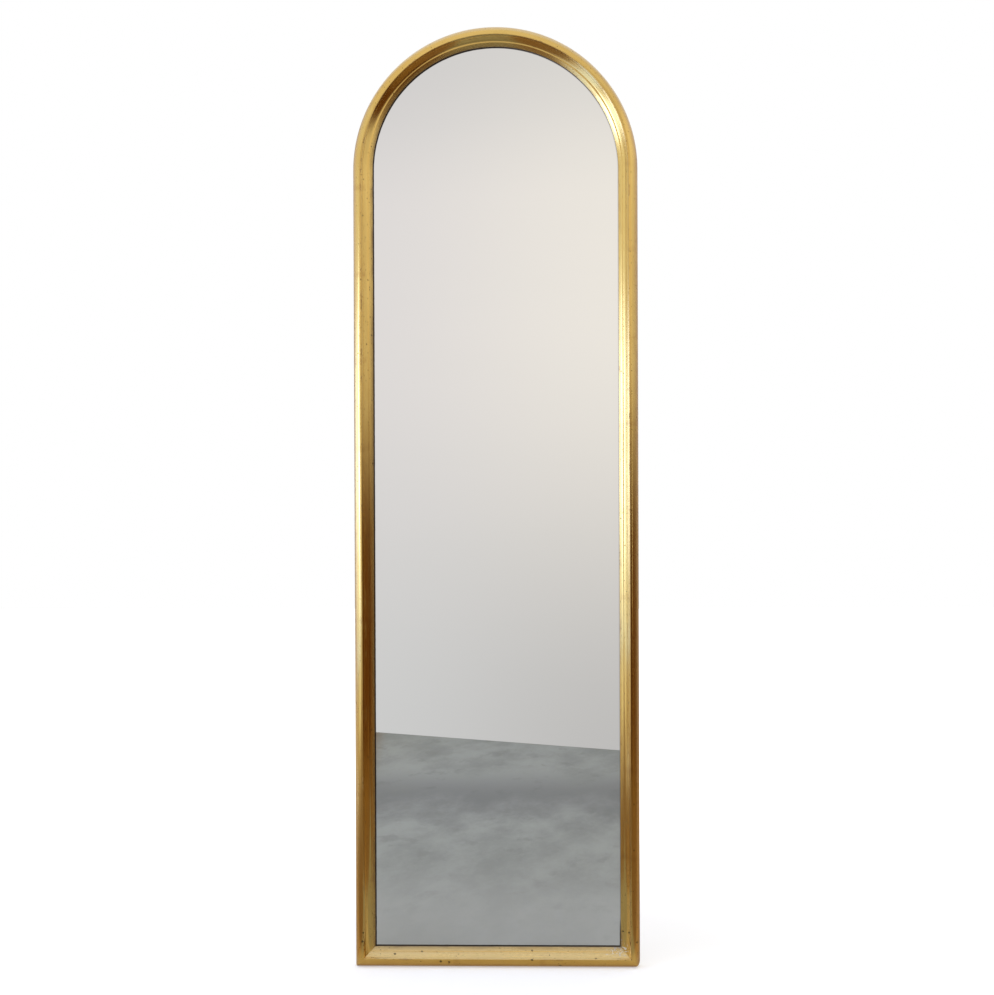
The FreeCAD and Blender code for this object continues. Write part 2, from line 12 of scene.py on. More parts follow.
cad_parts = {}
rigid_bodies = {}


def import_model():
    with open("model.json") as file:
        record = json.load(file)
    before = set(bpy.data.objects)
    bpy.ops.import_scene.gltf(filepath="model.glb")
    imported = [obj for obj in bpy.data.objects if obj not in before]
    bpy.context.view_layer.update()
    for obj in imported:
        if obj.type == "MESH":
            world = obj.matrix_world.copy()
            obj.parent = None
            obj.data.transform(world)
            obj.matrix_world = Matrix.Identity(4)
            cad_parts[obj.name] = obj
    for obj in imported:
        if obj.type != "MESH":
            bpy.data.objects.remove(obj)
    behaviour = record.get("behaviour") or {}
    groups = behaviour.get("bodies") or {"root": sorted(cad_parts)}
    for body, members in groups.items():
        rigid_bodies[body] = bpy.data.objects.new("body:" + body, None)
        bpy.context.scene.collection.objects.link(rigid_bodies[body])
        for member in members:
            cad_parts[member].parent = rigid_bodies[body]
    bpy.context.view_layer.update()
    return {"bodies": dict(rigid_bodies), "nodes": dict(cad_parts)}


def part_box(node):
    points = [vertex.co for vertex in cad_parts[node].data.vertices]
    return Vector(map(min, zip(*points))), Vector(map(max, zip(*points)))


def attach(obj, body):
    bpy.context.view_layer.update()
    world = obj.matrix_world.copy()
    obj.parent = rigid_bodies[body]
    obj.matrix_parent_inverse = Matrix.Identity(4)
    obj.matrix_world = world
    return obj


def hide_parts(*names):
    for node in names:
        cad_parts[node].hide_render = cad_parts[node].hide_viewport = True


bl_info = {
    "name": "Arched wall mirror",
    "version": (1, 0, 0),
    "blender": (4, 5, 0),
    "location": "View3D > Sidebar > Mirror",
    "description": "Gilded mouldings, silvered pane, backing and hardware round the packed frame",
    "category": "Object",
}

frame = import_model()

MM = 0.001

# Sizes read from the frame
STILE_LOW, STILE_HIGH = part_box("left_stile")
PANE_LOW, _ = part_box("mirror_glass")
HALF_WIDTH = -STILE_LOW.x
SPRING_LINE = STILE_HIGH.z
MOULDING_DEPTH = -STILE_LOW.y
MOULDING_WIDTH = STILE_HIGH.x + HALF_WIDTH
REBATE_DEPTH = -PANE_LOW.y


def length(name, description, millimetres):
    """A size that a user can change, given in millimetres."""
    return FloatProperty(name=name, description=description, default=millimetres * MM,
                         unit="LENGTH", precision=5)


def number(name, description, default):
    """A plain value that a user can change."""
    return FloatProperty(name=name, description=description, default=default)


def colour(name, description, default):
    """A colour that a user can change."""
    return FloatVectorProperty(name=name, description=description, default=default,
                               subtype="COLOR", min=0, max=1)


class MirrorMoulding(PropertyGroup):
    """The moulding: insets run inwards from the outer edge, heights run forwards from the back."""
    crest_inset: length("Crest inset", "Outer edge to the crest", 15.5)
    shoulder_radius: length("Shoulder radius", "Radius of the rounded outer edge", 14)
    shoulder_turn: number("Shoulder turn", "Degrees that the rounded outer edge turns through", 62)
    crest_slope: number("Crest slope", "Slope of the crown at the crest, in degrees", 4)
    arris_inset: length("Arris inset", "Outer edge to the arris between the two hollows", 20)
    arris_height: length("Arris height", "Height of that arris", 23)
    upper_hollow: length("Upper hollow", "Radius of the steep hollow inside the crest", 12)
    cove_inset: length("Cove inset", "Outer edge to the inner end of the lower hollow", 27.5)
    cove_height: length("Cove height", "Height of the inner end of the lower hollow", 18.5)
    lower_hollow: length("Lower hollow", "Radius of the lower hollow", 13)
    step: length("Step", "Small step between the lower hollow and the lip", 1)
    lip_height: length("Lip height", "Height of the lip at its inner edge", 14.5)
    sight_bevel: length("Sight bevel", "Width of the steep bevel beside the glass", 0.4)
    sight_land: length("Sight land", "Square edge under the bevel", 1)
    rebate_width: length("Rebate width", "Width of the rebate that holds the glass", 9)
    crest_round: length("Crest rounding", "Rounding of the crest and the arris by the gesso", 0.6)
    edge_round: length("Edge rounding", "Rounding of the lip and the step", 0.3)
    left_wear: length("Left corner wear", "Radius worn on the lower left corner", 6)
    right_wear: length("Right corner wear", "Radius worn on the lower right corner", 12)
    hand_work: length("Hand work", "How far the hand-worked surface strays from a true one", 0.12)


class MirrorFinish(PropertyGroup):
    """Colours of the finishes."""
    leaf: colour("Gold leaf", "Burnished leaf", (0.77, 0.52, 0.15))
    leaf_deep: colour("Deep gold", "Leaf that has toned down", (0.68, 0.43, 0.105))
    lap: colour("Lap", "Edge of one leaf over the next", (0.48, 0.25, 0.06))
    # Soiling along the glass, whose colour also paints the shade beside the glass on the left and along the
    # bottom
    grime_and_shade: colour("Grime and shade", "Dirt along the glass", (0.13, 0.075, 0.035))
    bole: colour("Bole", "Red clay under the leaf", (0.20, 0.062, 0.022))
    pit: colour("Pit", "Dirt in pits and specks", (0.045, 0.028, 0.014))
    gesso: colour("Gesso", "White ground under the clay", (0.72, 0.66, 0.54))
    # The outer side: worn leaf, also painted paler as a sheen in place of the pale grazing reflection along
    # the outer edge
    worn_side_and_sheen: colour("Worn side", "Outer side, rubbed by hands and the wall", (0.44, 0.27, 0.17))
    dust: colour("Dust", "Dust on the ledges", (0.80, 0.68, 0.42))
    # The sight edge's dark tone, also used for the painted shade on the silvering along the sight line
    sight: colour("Sight edge", "Dark toning beside the glass", (0.060, 0.038, 0.020))
    silver: colour("Silver", "Silvering seen through the glass", (0.905, 0.908, 0.905))
    wood: colour("Bare wood", "Back of the moulding", (0.47, 0.31, 0.165))
    wood_dark: colour("Wood grain", "Dark lines of the grain", (0.235, 0.130, 0.060))
    board: colour("Hardboard", "Back board", (0.185, 0.098, 0.047))
    card: colour("Card", "Grey backing card", (0.36, 0.34, 0.30))
    cork: colour("Cork", "Shims", (0.42, 0.26, 0.13))
    brass: colour("Brass plate", "Turn buttons", (0.70, 0.52, 0.24))
    zinc: colour("Zinc plate", "Straps and rings", (0.62, 0.62, 0.60))
    yellow_zinc: colour("Yellow zinc", "Screws", (0.62, 0.53, 0.30))
    steel: colour("Steel", "Nails", (0.50, 0.50, 0.50))
    rubber: colour("Rubber", "Wall bumpers", (0.030, 0.029, 0.028))


class MirrorStudio(PropertyGroup):
    """The camera and the room that the glass reflects."""
    camera_side: length("Camera side", "Camera to the right of the middle", 260)
    camera_distance: length("Camera distance", "Camera in front of the frame's back", 3050)
    camera_height: length("Camera height", "Camera above the bottom edge", 840)
    camera_yaw: number("Camera yaw", "Degrees that the camera turns to the left", 1.54)
    camera_pitch: number("Camera pitch", "Degrees that the camera looks down", 0.24)
    camera_roll: number("Camera roll", "Degrees that the camera leans", 0.187)
    lens: number("Lens", "Focal length in millimetres on a 36 mm sensor", 62.58)
    shift_sideways: number("Sideways shift", "Share of the picture's longer side", -0.1012)
    shift_up: number("Upward shift", "Share of the picture's longer side", -0.002)
    window_light: number("Window", "Radiance of the window on the left", 4.5)
    world_light: number("World", "Light from all round on dull surfaces", 0.85)


class MirrorSettings(PropertyGroup):
    """All the settings of the mirror."""
    moulding: PointerProperty(type=MirrorMoulding)
    finish: PointerProperty(type=MirrorFinish)
    studio: PointerProperty(type=MirrorStudio)


# Wiring of node trees

class Wiring:
    """Adds nodes to one tree, and sets or joins their inputs."""

    def __init__(self, tree):
        self.tree = tree

    def join(self, source, target):
        """Links a socket to an input, or sets the input to a constant."""
        if isinstance(source, NodeSocket):
            self.tree.links.new(source, target)
        elif hasattr(source, "__len__") and len(source) == 3 and target.type == "RGBA":
            target.default_value = (*source, 1)
        else:
            target.default_value = source

    def node(self, kind, settings=None, **inputs):
        """A shader node. The names of its inputs have underscores for spaces."""
        made = self.tree.nodes.new(f"ShaderNode{kind}")
        for name, value in (settings or {}).items():
            setattr(made, name, value)
        for name, value in inputs.items():
            self.join(value, made.inputs[name.replace("_", " ")])
        return made

    def math(self, operation, first, second=0.0, clamp=False):
        """One step of arithmetic."""
        made = self.node("Math", {"operation": operation, "use_clamp": clamp})
        self.join(first, made.inputs[0])
        self.join(second, made.inputs[1])
        return made.outputs[0]

    def product(self, first, second, clamp=False):
        return self.math("MULTIPLY", first, second, clamp)

    def total(self, first, second, clamp=False):
        return self.math("ADD", first, second, clamp)

    def less(self, first, second, clamp=False):
        """What is left of the first value without the second."""
        return self.math("SUBTRACT", first, second, clamp)

    def largest(self, first, *others):
        for other in others:
            first = self.math("MAXIMUM", first, other)
        return first

    def blend(self, share, first, second, mode="MIX"):
        """A mix of two colours."""
        made = self.node("Mix", {"data_type": "RGBA", "blend_type": mode})
        for index, source in ((0, share), (6, first), (7, second)):
            self.join(source, made.inputs[index])
        return made.outputs[2]

    def layered(self, base, *layers):
        """Tints laid over a base one after another, each given as (share, tint)."""
        for share, tint in layers:
            base = self.blend(share, base, tint)
        return base

    def band(self, value, low, high, from_value=0.0, to_value=1.0):
        """A smooth rise from one value to another while the input goes from low to high."""
        made = self.node("MapRange", {"interpolation_type": "SMOOTHSTEP"}, Value=value,
                         From_Min=low, From_Max=high, To_Min=from_value, To_Max=to_value)
        return made.outputs[0]

    def split(self, vector):
        """The X, Y and Z of a vector."""
        return self.node("SeparateXYZ", Vector=vector).outputs

    def shifted(self, vector, shift):
        """A vector moved by another."""
        made = self.node("VectorMath", {"operation": "ADD"}, Vector=vector)
        self.join(shift, made.inputs[1])
        return made.outputs[0]

    def span(self, vector):
        """The length of a vector."""
        return self.node("VectorMath", {"operation": "LENGTH"}, Vector=vector).outputs["Value"]

    def stretch(self, vector, scale):
        return self.node("Mapping", Vector=vector, Scale=scale).outputs[0]

    def grains(self, vector, scale, detail=3.0, roughness=0.55):
        """Noise from 0 to 1."""
        made = self.node("TexNoise", Vector=vector, Scale=scale, Detail=detail, Roughness=roughness)
        return made.outputs["Fac"]

    def carried(self, name):
        """A value that the mesh carries at its vertices."""
        return self.node("Attribute", {"attribute_name": name}).outputs["Fac"]

    def bump(self, height, strength, distance):
        return self.node("Bump", Height=height, Strength=strength, Distance=distance).outputs[0]

    def place(self, group, **inputs):
        """The outputs of a group, with its inputs by name."""
        made = self.tree.nodes.new("ShaderNodeGroup")
        made.node_tree = group
        for name, value in inputs.items():
            self.join(value, made.inputs[name])
        return made.outputs

    def put_out(self, shader, kind="OutputMaterial"):
        """Ends the tree with a shader."""
        self.join(shader.outputs[0], self.node(kind).inputs["Surface"])


def emptied(owner):
    """The wiring of a material or a world whose own nodes are taken out."""
    owner.use_nodes = True
    owner.node_tree.nodes.clear()
    return Wiring(owner.node_tree)


def new_material(name):
    """A material with an empty Principled surface, as (material, wiring, shader)."""
    material = bpy.data.materials.new(name)
    wiring = emptied(material)
    shader = wiring.node("BsdfPrincipled")
    wiring.put_out(shader)
    return material, wiring, shader


def surface(wiring, shader, **inputs):
    """Sets or joins the inputs of a shader."""
    for name, value in inputs.items():
        wiring.join(value, shader.inputs[name.replace("_", " ")])


def effect(name, outputs):
    """A group from a place on the surface to some values, as (tree, wiring, place, outlets)."""
    tree = bpy.data.node_groups.new(name, "ShaderNodeTree")
    tree.interface.new_socket("Place", in_out="INPUT", socket_type="NodeSocketVector")
    for outlet in outputs:
        tree.interface.new_socket(outlet, in_out="OUTPUT", socket_type="NodeSocketFloat")
    wiring = Wiring(tree)
    source = tree.nodes.new("NodeGroupInput")
    sink = tree.nodes.new("NodeGroupOutput")
    return tree, wiring, source.outputs["Place"], sink.inputs


def once(make):
    """Keeps what a maker of a material or group returns, so that each is made once."""
    kept = []

    def fetch(*arguments):
        if not kept:
            kept.append(make(*arguments))
        return kept[0]
    return fetch


# Effects that several materials share

GRAIN_SWAY = 0.004
SCRATCH_TURN = (0.3, 0.5, 0.7)


@once
def grain_effect():
    """Grain that runs along X, in metres."""
    tree, wiring, place, outlets = effect("Grain", ("Grain", "Pores", "Tone"))
    sway = wiring.node("TexNoise", Vector=wiring.stretch(place, (3, 20, 20)), Scale=1.0, Detail=2.0)
    small = wiring.node("VectorMath", {"operation": "SCALE"}, Vector=sway.outputs["Color"], Scale=GRAIN_SWAY)
    bent = wiring.shifted(place, small.outputs[0])
    rings = wiring.grains(wiring.stretch(bent, (5, 260, 260)), 1.0, 5.0, 0.62)
    pores = wiring.grains(wiring.stretch(place, (60, 2600, 2600)), 1.0, 2.0)
    wiring.join(wiring.band(rings, 0.38, 0.66), outlets["Grain"])
    wiring.join(wiring.band(pores, 0.58, 0.74), outlets["Pores"])
    wiring.join(wiring.grains(wiring.stretch(place, (4, 25, 25)), 1.0), outlets["Tone"])
    return tree


@once
def handling_effect():
    """Smudges, scratches and spots of tarnish on metal."""
    tree, wiring, place, outlets = effect("Handling", ("Smudge", "Scratch", "Tarnish"))
    wiring.join(wiring.grains(place, 90.0, 3.0), outlets["Smudge"])
    turned = wiring.node("Mapping", Vector=place, Rotation=SCRATCH_TURN, Scale=(300, 9000, 300))
    scratch = wiring.grains(turned.outputs[0], 1.0, 1.0)
    wiring.join(wiring.band(scratch, 0.62, 0.72), outlets["Scratch"])
    wiring.join(wiring.band(wiring.grains(place, 240.0, 4.0, 0.7), 0.56, 0.74), outlets["Tarnish"])
    return tree


@once
def fibre_effect():
    """Pressed fibres, as in hardboard, card and cork."""
    tree, wiring, place, outlets = effect("Fibres", ("Mottle", "Fibre", "Fleck"))
    wiring.join(wiring.grains(place, 14.0, 4.0), outlets["Mottle"])
    long_way = wiring.grains(wiring.stretch(place, (220, 220, 1400)), 1.0, 3.0)
    cross_way = wiring.grains(wiring.stretch(place, (1400, 220, 220)), 1.0, 3.0)
    wiring.join(wiring.product(long_way, cross_way), outlets["Fibre"])
    fleck = wiring.node("TexVoronoi", {"feature": "F1"}, Vector=place, Scale=420.0)
    wiring.join(wiring.band(fleck.outputs["Distance"], 0.10, 0.34, 1.0, 0.0), outlets["Fleck"])
    return tree


@once
def sight_shade_effect():
    """Painted shade beside the glass, which also sets where soiling shows: all on the left and along the
    bottom, little on the right, where the window lights the lip.
    """
    tree, wiring, place, outlets = effect("Soiling and shade", ("Share",))
    axes = wiring.split(place)
    sideways = wiring.band(axes[0], -0.05, 0.16, 1.0, 0.2)
    low_down = wiring.band(axes[2], 0.05, 0.10, 1.0, 0.0)
    wiring.join(wiring.largest(sideways, low_down), outlets["Share"])
    return tree


# Gold leaf

# What the meshes of the mouldings carry: a map, and a value at each vertex
MOULDING_MAP = "moulding"
ACROSS = "across"
RUBBED = "rubbed"
GRIME_AND_SHADE_LAYER = "grimed_and_shaded"

# A leaf's length in metres. The overlap and the stray of its edge are shares of that length
LEAF_LENGTH = 0.152
LAP_SHARE = 0.07
STRAY_SHARE = 0.09

COAT_ROUGHNESS = 0.14
PIT_WOBBLE = (0.0045, 0.0030, 0.0)
FLAKED_CORNER = (HALF_WIDTH - MOULDING_WIDTH - 0.004, -0.6 * MOULDING_DEPTH, 0.8 * MOULDING_WIDTH)
FLAKED_NEAR, FLAKED_FAR = 0.006, 0.026


def moulding_place(wiring):
    """Metres along and across the moulding."""
    return wiring.node("UVMap", {"uv_map": MOULDING_MAP}).outputs[0]


def object_place(wiring):
    """Metres in the shared frame."""
    return wiring.node("TexCoord").outputs["Object"]


def laid_leaves(wiring, place):
    """Leaves laid one after another: each one's own tone, and the doubled strip where two overlap."""
    along = wiring.split(place)[0]
    stray = wiring.product(wiring.grains(wiring.stretch(place, (10, 45, 1)), 1.0), STRAY_SHARE)
    count = wiring.total(wiring.math("DIVIDE", along, LEAF_LENGTH), stray)
    leaf = wiring.math("FLOOR", count)
    tone = wiring.node("TexWhiteNoise", {"noise_dimensions": "1D"}, W=leaf).outputs[0]
    edge = wiring.math("FRACT", count)
    begins = wiring.band(edge, 0.0, LAP_SHARE * 0.5)
    ends = wiring.band(edge, LAP_SHARE * 0.6, LAP_SHARE * 1.6, 1.0, 0.0)
    return tone, wiring.product(begins, ends)


def specks(wiring, place, scale, channel, threshold, size):
    """Specks in some of the cells of a pattern. A channel of the cells' colours chooses which."""
    flat_cells = {"feature": "F1", "voronoi_dimensions": "2D"}
    cells = wiring.node("TexVoronoi", flat_cells, Vector=place, Scale=scale)
    chosen = wiring.node("SeparateColor", Color=cells.outputs["Color"]).outputs[channel]
    radius = wiring.product(wiring.band(chosen, threshold, 1.0), size)
    return wiring.math("LESS_THAN", cells.outputs["Distance"], radius)


def pits_and_specks(wiring, place, height):
    """Ragged pits, larger low down, and fine specks."""
    noise_colour = wiring.node("TexNoise", Vector=place, Scale=420.0, Detail=2.0).outputs["Color"]
    wobble = wiring.node("VectorMath", {"operation": "MULTIPLY"}, Vector=noise_colour)
    wobble.inputs[1].default_value = PIT_WOBBLE
    ragged_place = wiring.shifted(place, wobble.outputs[0])
    pit_size = wiring.band(height, 0.03, 0.12, 0.15, 0.075)
    pits = specks(wiring, ragged_place, 62.0, 0, 0.72, pit_size)
    return wiring.largest(pits, specks(wiring, place, 260.0, 1, 0.90, 0.20))


def ledge_dust(wiring, forwards, cloud):
    """Dust on what faces up, most of it behind the crest."""
    facing_up = wiring.split(wiring.node("NewGeometry").outputs["Normal"])[2]
    behind_crest = wiring.band(forwards, -0.9 * MOULDING_DEPTH, -0.7 * MOULDING_DEPTH)
    ledges = wiring.product(wiring.band(facing_up, 0.08, 0.50, 0.0, 0.55), behind_crest)
    ledges = wiring.largest(ledges, wiring.band(facing_up, 0.35, 0.60, 0.0, 0.5))
    return wiring.product(ledges, wiring.band(cloud, 0.25, 0.75, 0.7, 1.0))


def flaked_leaf(wiring, place, forwards, arris_height):
    """Leaf flaked off the gesso at the lower right corner of the glass, below the arris."""
    from_corner = wiring.node("VectorMath", {"operation": "DISTANCE"}, Vector=object_place(wiring))
    from_corner.inputs[1].default_value = FLAKED_CORNER
    flaking = wiring.band(from_corner.outputs["Value"], FLAKED_NEAR, FLAKED_FAR, 0.10, 0.0)
    flakes = wiring.band(wiring.total(wiring.grains(place, 230.0, 3.0, 0.6), flaking), 0.60, 0.66)
    below_arris = wiring.band(forwards, -arris_height - MM, -arris_height + MM)
    return wiring.product(flakes, wiring.product(below_arris, wiring.band(flaking, 0.0, 0.02)))


@once
def gold_leaf(finish, moulding):
    """Worn gold leaf over red clay and gesso."""
    material, wiring, shader = new_material("Gold leaf")
    place = moulding_place(wiring)
    across = wiring.split(place)[1]
    spot = wiring.split(object_place(wiring))
    cloud = wiring.grains(wiring.stretch(place, (9, 40, 1)), 1.0, 4.0, 0.6)
    streak = wiring.grains(wiring.stretch(place, (7, 900, 1)), 1.0, 3.0, 0.6)
    crackle = wiring.grains(wiring.stretch(place, (420, 420, 1)), 1.0, 3.0, 0.6)
    patches = wiring.grains(wiring.stretch(place, (26, 90, 1)), 1.0, 5.0, 0.68)

    # The leaf itself
    leaf_tone, lap = laid_leaves(wiring, place)
    tone = wiring.total(wiring.band(cloud, 0.35, 0.70, 0.0, 0.55), wiring.product(leaf_tone, 0.30))
    lap = wiring.product(lap, wiring.band(cloud, 0.42, 0.62))
    gold = wiring.blend(tone, finish.leaf, finish.leaf_deep)
    gold = wiring.blend(wiring.product(lap, 0.35), gold, finish.lap)
    gold = wiring.blend(1.0, gold, wiring.band(streak, 0.30, 0.72, 0.97, 1.02), "MULTIPLY")

    # Wear down to the clay, on the edges and on the outer side, where the worn leaf also carries a painted
    # sheen, and what lies on the leaf, with soiling and painted shade beside the glass
    rub = wiring.product(wiring.carried(RUBBED), wiring.band(patches, 0.54, 0.66), clamp=True)
    # Worn leaf on the outer side, plus painted sheen that stands in for the pale grazing reflection there,
    # strongest on the outer side and fading over the shoulder
    side = wiring.band(across, 1.3 * moulding.shoulder_radius, 2.4 * moulding.shoulder_radius, 0.75, 0.0)
    side_wear_and_sheen = wiring.product(side, wiring.band(patches, 0.30, 0.55, 0.5, 1.0))
    spots = pits_and_specks(wiring, place, spot[2])
    dust = ledge_dust(wiring, spot[1], cloud)
    flaked = flaked_leaf(wiring, place, spot[1], moulding.arris_height)
    # Soiling along the lip, and painted shade where the sight line lies in shade: dark on the left and along
    # the bottom
    grime_and_shade = wiring.product(wiring.carried(GRIME_AND_SHADE_LAYER), wiring.band(patches, 0.25, 0.65, 0.25, 0.65))
    side_shade = wiring.place(sight_shade_effect(), Place=object_place(wiring))
    grime_and_shade = wiring.product(grime_and_shade, side_shade["Share"])
    tint = wiring.layered(
        gold,
        (rub, finish.bole),
        (side_wear_and_sheen, finish.worn_side_and_sheen),
        (dust, finish.dust),
        (flaked, finish.gesso),
        (grime_and_shade, finish.grime_and_shade),
        (wiring.product(spots, 0.8), finish.pit),
    )

    # Worn places with their painted sheen, dusty places, and soiled places with their painted shade don't
    # shine like metal
    clay = wiring.product(wiring.largest(rub, side_wear_and_sheen), 0.85)
    dull = wiring.largest(clay, wiring.product(dust, 0.8), wiring.product(grime_and_shade, 0.7), flaked)
    rough = wiring.total(wiring.band(streak, 0.2, 0.8, 0.11, 0.17), wiring.band(cloud, 0.3, 0.8, 0.0, 0.05))
    rough = wiring.total(rough, wiring.product(dull, 0.35), clamp=True)
    height = wiring.total(wiring.product(crackle, 0.12), wiring.product(streak, 0.08))
    height = wiring.total(height, wiring.product(lap, 0.2))
    height = wiring.less(height, wiring.product(spots, 1.5))
    surface(wiring, shader, Base_Color=tint, Metallic=wiring.less(1.0, dull, clamp=True),
            Roughness=rough, Normal=wiring.bump(height, 0.35, 0.00012),
            Coat_Weight=wiring.band(wiring.largest(dull, spots), 0.0, 0.6, 0.5, 0.1))
    shader.inputs["Coat Roughness"].default_value = COAT_ROUGHNESS
    return material


# The other materials

WIPED_GLASS = (0.80, 0.84, 0.82)
GLASS_GREEN, CHIPPED_GREEN = (0.10, 0.22, 0.17), (0.30, 0.45, 0.38)
PAINT_DEEP, PAINT_PALE = (0.17, 0.18, 0.17), (0.23, 0.24, 0.22)
RUBBER_BLOOM = (0.085, 0.083, 0.08)

# The wire screen that marks the back of hardboard
SCREEN_PITCH = 0.0022

# Radians that a wave texture turns through in a metre at a scale of 1
WAVE_TURN = 20
SCREEN_SCALE = 2 * math.pi / (WAVE_TURN * SCREEN_PITCH)


@once
def sight_edge(finish):
    """The toned edge beside the glass."""
    material, wiring, shader = new_material("Sight edge")
    place = moulding_place(wiring)
    patches = wiring.grains(wiring.stretch(place, (40, 300, 1)), 1.0, 4.0, 0.6)
    tint = wiring.blend(wiring.band(patches, 0.55, 0.75, 0.0, 0.5), finish.sight, finish.bole)
    surface(wiring, shader, Base_Color=tint, Roughness=wiring.band(patches, 0.3, 0.7, 0.42, 0.62),
            Normal=wiring.bump(patches, 0.2, 0.0002))
    return material


def wood(name, finish, place_of, stain):
    """Bare wood with grain, pores and darker stretches."""
    material, wiring, shader = new_material(name)
    grain = wiring.place(grain_effect(), Place=place_of(wiring))
    tint = wiring.layered(
        finish.wood,
        (wiring.product(grain["Grain"], 0.55), finish.wood_dark),
        (wiring.band(grain["Tone"], 0.35, 0.7, 0.0, stain), finish.wood_dark),
        (wiring.product(grain["Pores"], 0.6), finish.wood_dark),
    )
    height = wiring.total(grain["Grain"], grain["Pores"])
    surface(wiring, shader, Base_Color=tint, Normal=wiring.bump(height, 0.3, 0.0002),
            Roughness=wiring.band(grain["Grain"], 0.0, 1.0, 0.62, 0.74))
    return material


@once
def bare_wood(finish):
    return wood("Bare wood", finish, moulding_place, 0.4)


@once
def dowel_wood(finish):
    return wood("Dowel wood", finish, object_place, 0.2)


def painted_sight_shadow(wiring, place):
    """Painted shade on the silvering along the sight line, standing in for the shadow gap under the lip and
    its reflection in the glass.
    """
    axes = wiring.split(place)
    above_spring = wiring.largest(wiring.less(axes[2], SPRING_LINE), 0.0)
    from_axis = wiring.span(wiring.node("CombineXYZ", X=axes[0], Z=above_spring).outputs[0])
    from_side = wiring.less(HALF_WIDTH - MOULDING_WIDTH, from_axis)
    from_sight = wiring.math("MINIMUM", from_side, wiring.less(axes[2], MOULDING_WIDTH))
    fade = wiring.total(from_sight, wiring.product(wiring.grains(place, 160.0), -0.6 * MM))
    dark = wiring.band(fade, 0.7 * MM, 1.5 * MM, 1.0, 0.0)
    side_shade = wiring.place(sight_shade_effect(), Place=place)
    return wiring.product(dark, side_shade["Share"])


@once
def silvered_face(finish):
    """Silvering behind clear glass, with the faint marks of cleaning and a band of painted shade along the
    sight line.
    """
    material, wiring, shader = new_material("Silvered face")
    place = object_place(wiring)
    turned = wiring.node("Mapping", Vector=place, Rotation=(0, 0.6, 0), Scale=(3, 3, 14))
    wipe = wiring.grains(turned.outputs[0], 1.0, 3.0)
    tint = wiring.layered(
        finish.silver,
        (wiring.band(wipe, 0.4, 0.8, 0.0, 0.05), WIPED_GLASS),
        # A band of painted shade along the sight line, in the sight edge's colour
        (painted_sight_shadow(wiring, place), finish.sight),
    )
    surface(wiring, shader, Base_Color=tint, Roughness=wiring.band(wipe, 0.45, 0.8, 0.004, 0.02))
    shader.inputs["Metallic"].default_value = 1.0
    return material


@once
def glass_edge():
    """The ground edge of the glass."""
    material, wiring, shader = new_material("Glass edge")
    chips = wiring.grains(object_place(wiring), 700.0, 2.0)
    tint = wiring.blend(wiring.band(chips, 0.4, 0.7), GLASS_GREEN, CHIPPED_GREEN)
    surface(wiring, shader, Base_Color=tint, Roughness=wiring.band(chips, 0.4, 0.7, 0.12, 0.35))
    return material


@once
def back_paint():
    """Paint that seals the silvering."""
    material, wiring, shader = new_material("Backing paint")
    flow = wiring.grains(wiring.stretch(object_place(wiring), (60, 60, 6)), 1.0, 3.0)
    tint = wiring.blend(wiring.band(flow, 0.3, 0.7), PAINT_DEEP, PAINT_PALE)
    surface(wiring, shader, Base_Color=tint, Roughness=wiring.band(flow, 0.3, 0.7, 0.4, 0.55))
    return material


def pressed(name, tone, fleck, mottling, roughness, relief, screen=0.0):
    """Board, card and cork: fibres or crumbs pressed into a sheet, some with the marks of a wire screen."""
    material, wiring, shader = new_material(name)
    fibre = wiring.place(fibre_effect(), Place=object_place(wiring))
    deep = tuple(0.55 * part for part in tone)
    flecks = wiring.product(fibre["Fleck"], fleck)
    tint = wiring.layered(
        tone,
        (wiring.band(fibre["Mottle"], 0.3, 0.75, 0.0, mottling), deep),
        (wiring.band(fibre["Fibre"], 0.2, 0.42, 0.35, 0.0), deep),
        (flecks, deep),
    )
    height = wiring.less(fibre["Fibre"], flecks)
    if screen:
        place = object_place(wiring)
        wires = [
            wiring.node("TexWave", {"bands_direction": way}, Vector=place, Scale=SCREEN_SCALE).outputs["Fac"]
            for way in ("X", "Z")
        ]
        mesh = wiring.largest(*wires)
        tint = wiring.blend(wiring.band(mesh, 0.75, 1.0, 0.0, screen), tint, deep)
        height = wiring.less(height, wiring.product(mesh, screen))
    surface(wiring, shader, Base_Color=tint, Normal=wiring.bump(height, 0.5, relief),
            Roughness=wiring.band(fibre["Mottle"], 0.3, 0.7, roughness - 0.06, roughness + 0.06))
    return material


@once
def hardboard(finish):
    return pressed("Hardboard", finish.board, 0.15, 0.35, 0.58, 0.0003, screen=0.5)


@once
def grey_card(finish):
    return pressed("Grey card", finish.card, 0.10, 0.20, 0.85, 0.0002)


@once
def cork(finish):
    return pressed("Cork", finish.cork, 0.80, 0.45, 0.85, 0.0006)


def metal(name, tone, roughness, tarnish):
    """Plated or bare steel with smudges, scratches and tarnish."""
    material, wiring, shader = new_material(name)
    marks = wiring.place(handling_effect(), Place=object_place(wiring))
    deep = tuple(0.35 * part for part in tone)
    tint = wiring.layered(
        tone,
        (wiring.product(marks["Tarnish"], tarnish), deep),
        (wiring.band(marks["Smudge"], 0.35, 0.75, 0.0, 0.25), deep),
    )
    rough = wiring.band(marks["Smudge"], 0.3, 0.75, roughness - 0.06, roughness + 0.12)
    rough = wiring.total(rough, wiring.product(marks["Tarnish"], 0.2), clamp=True)
    surface(wiring, shader, Base_Color=tint, Roughness=rough,
            Normal=wiring.bump(marks["Scratch"], 0.15, 0.00005))
    shader.inputs["Metallic"].default_value = 1.0
    return material


@once
def zinc_plate(finish):
    return metal("Zinc plate", finish.zinc, 0.30, 0.5)


@once
def button_plate(finish):
    return metal("Button plate", finish.brass, 0.30, 0.7)


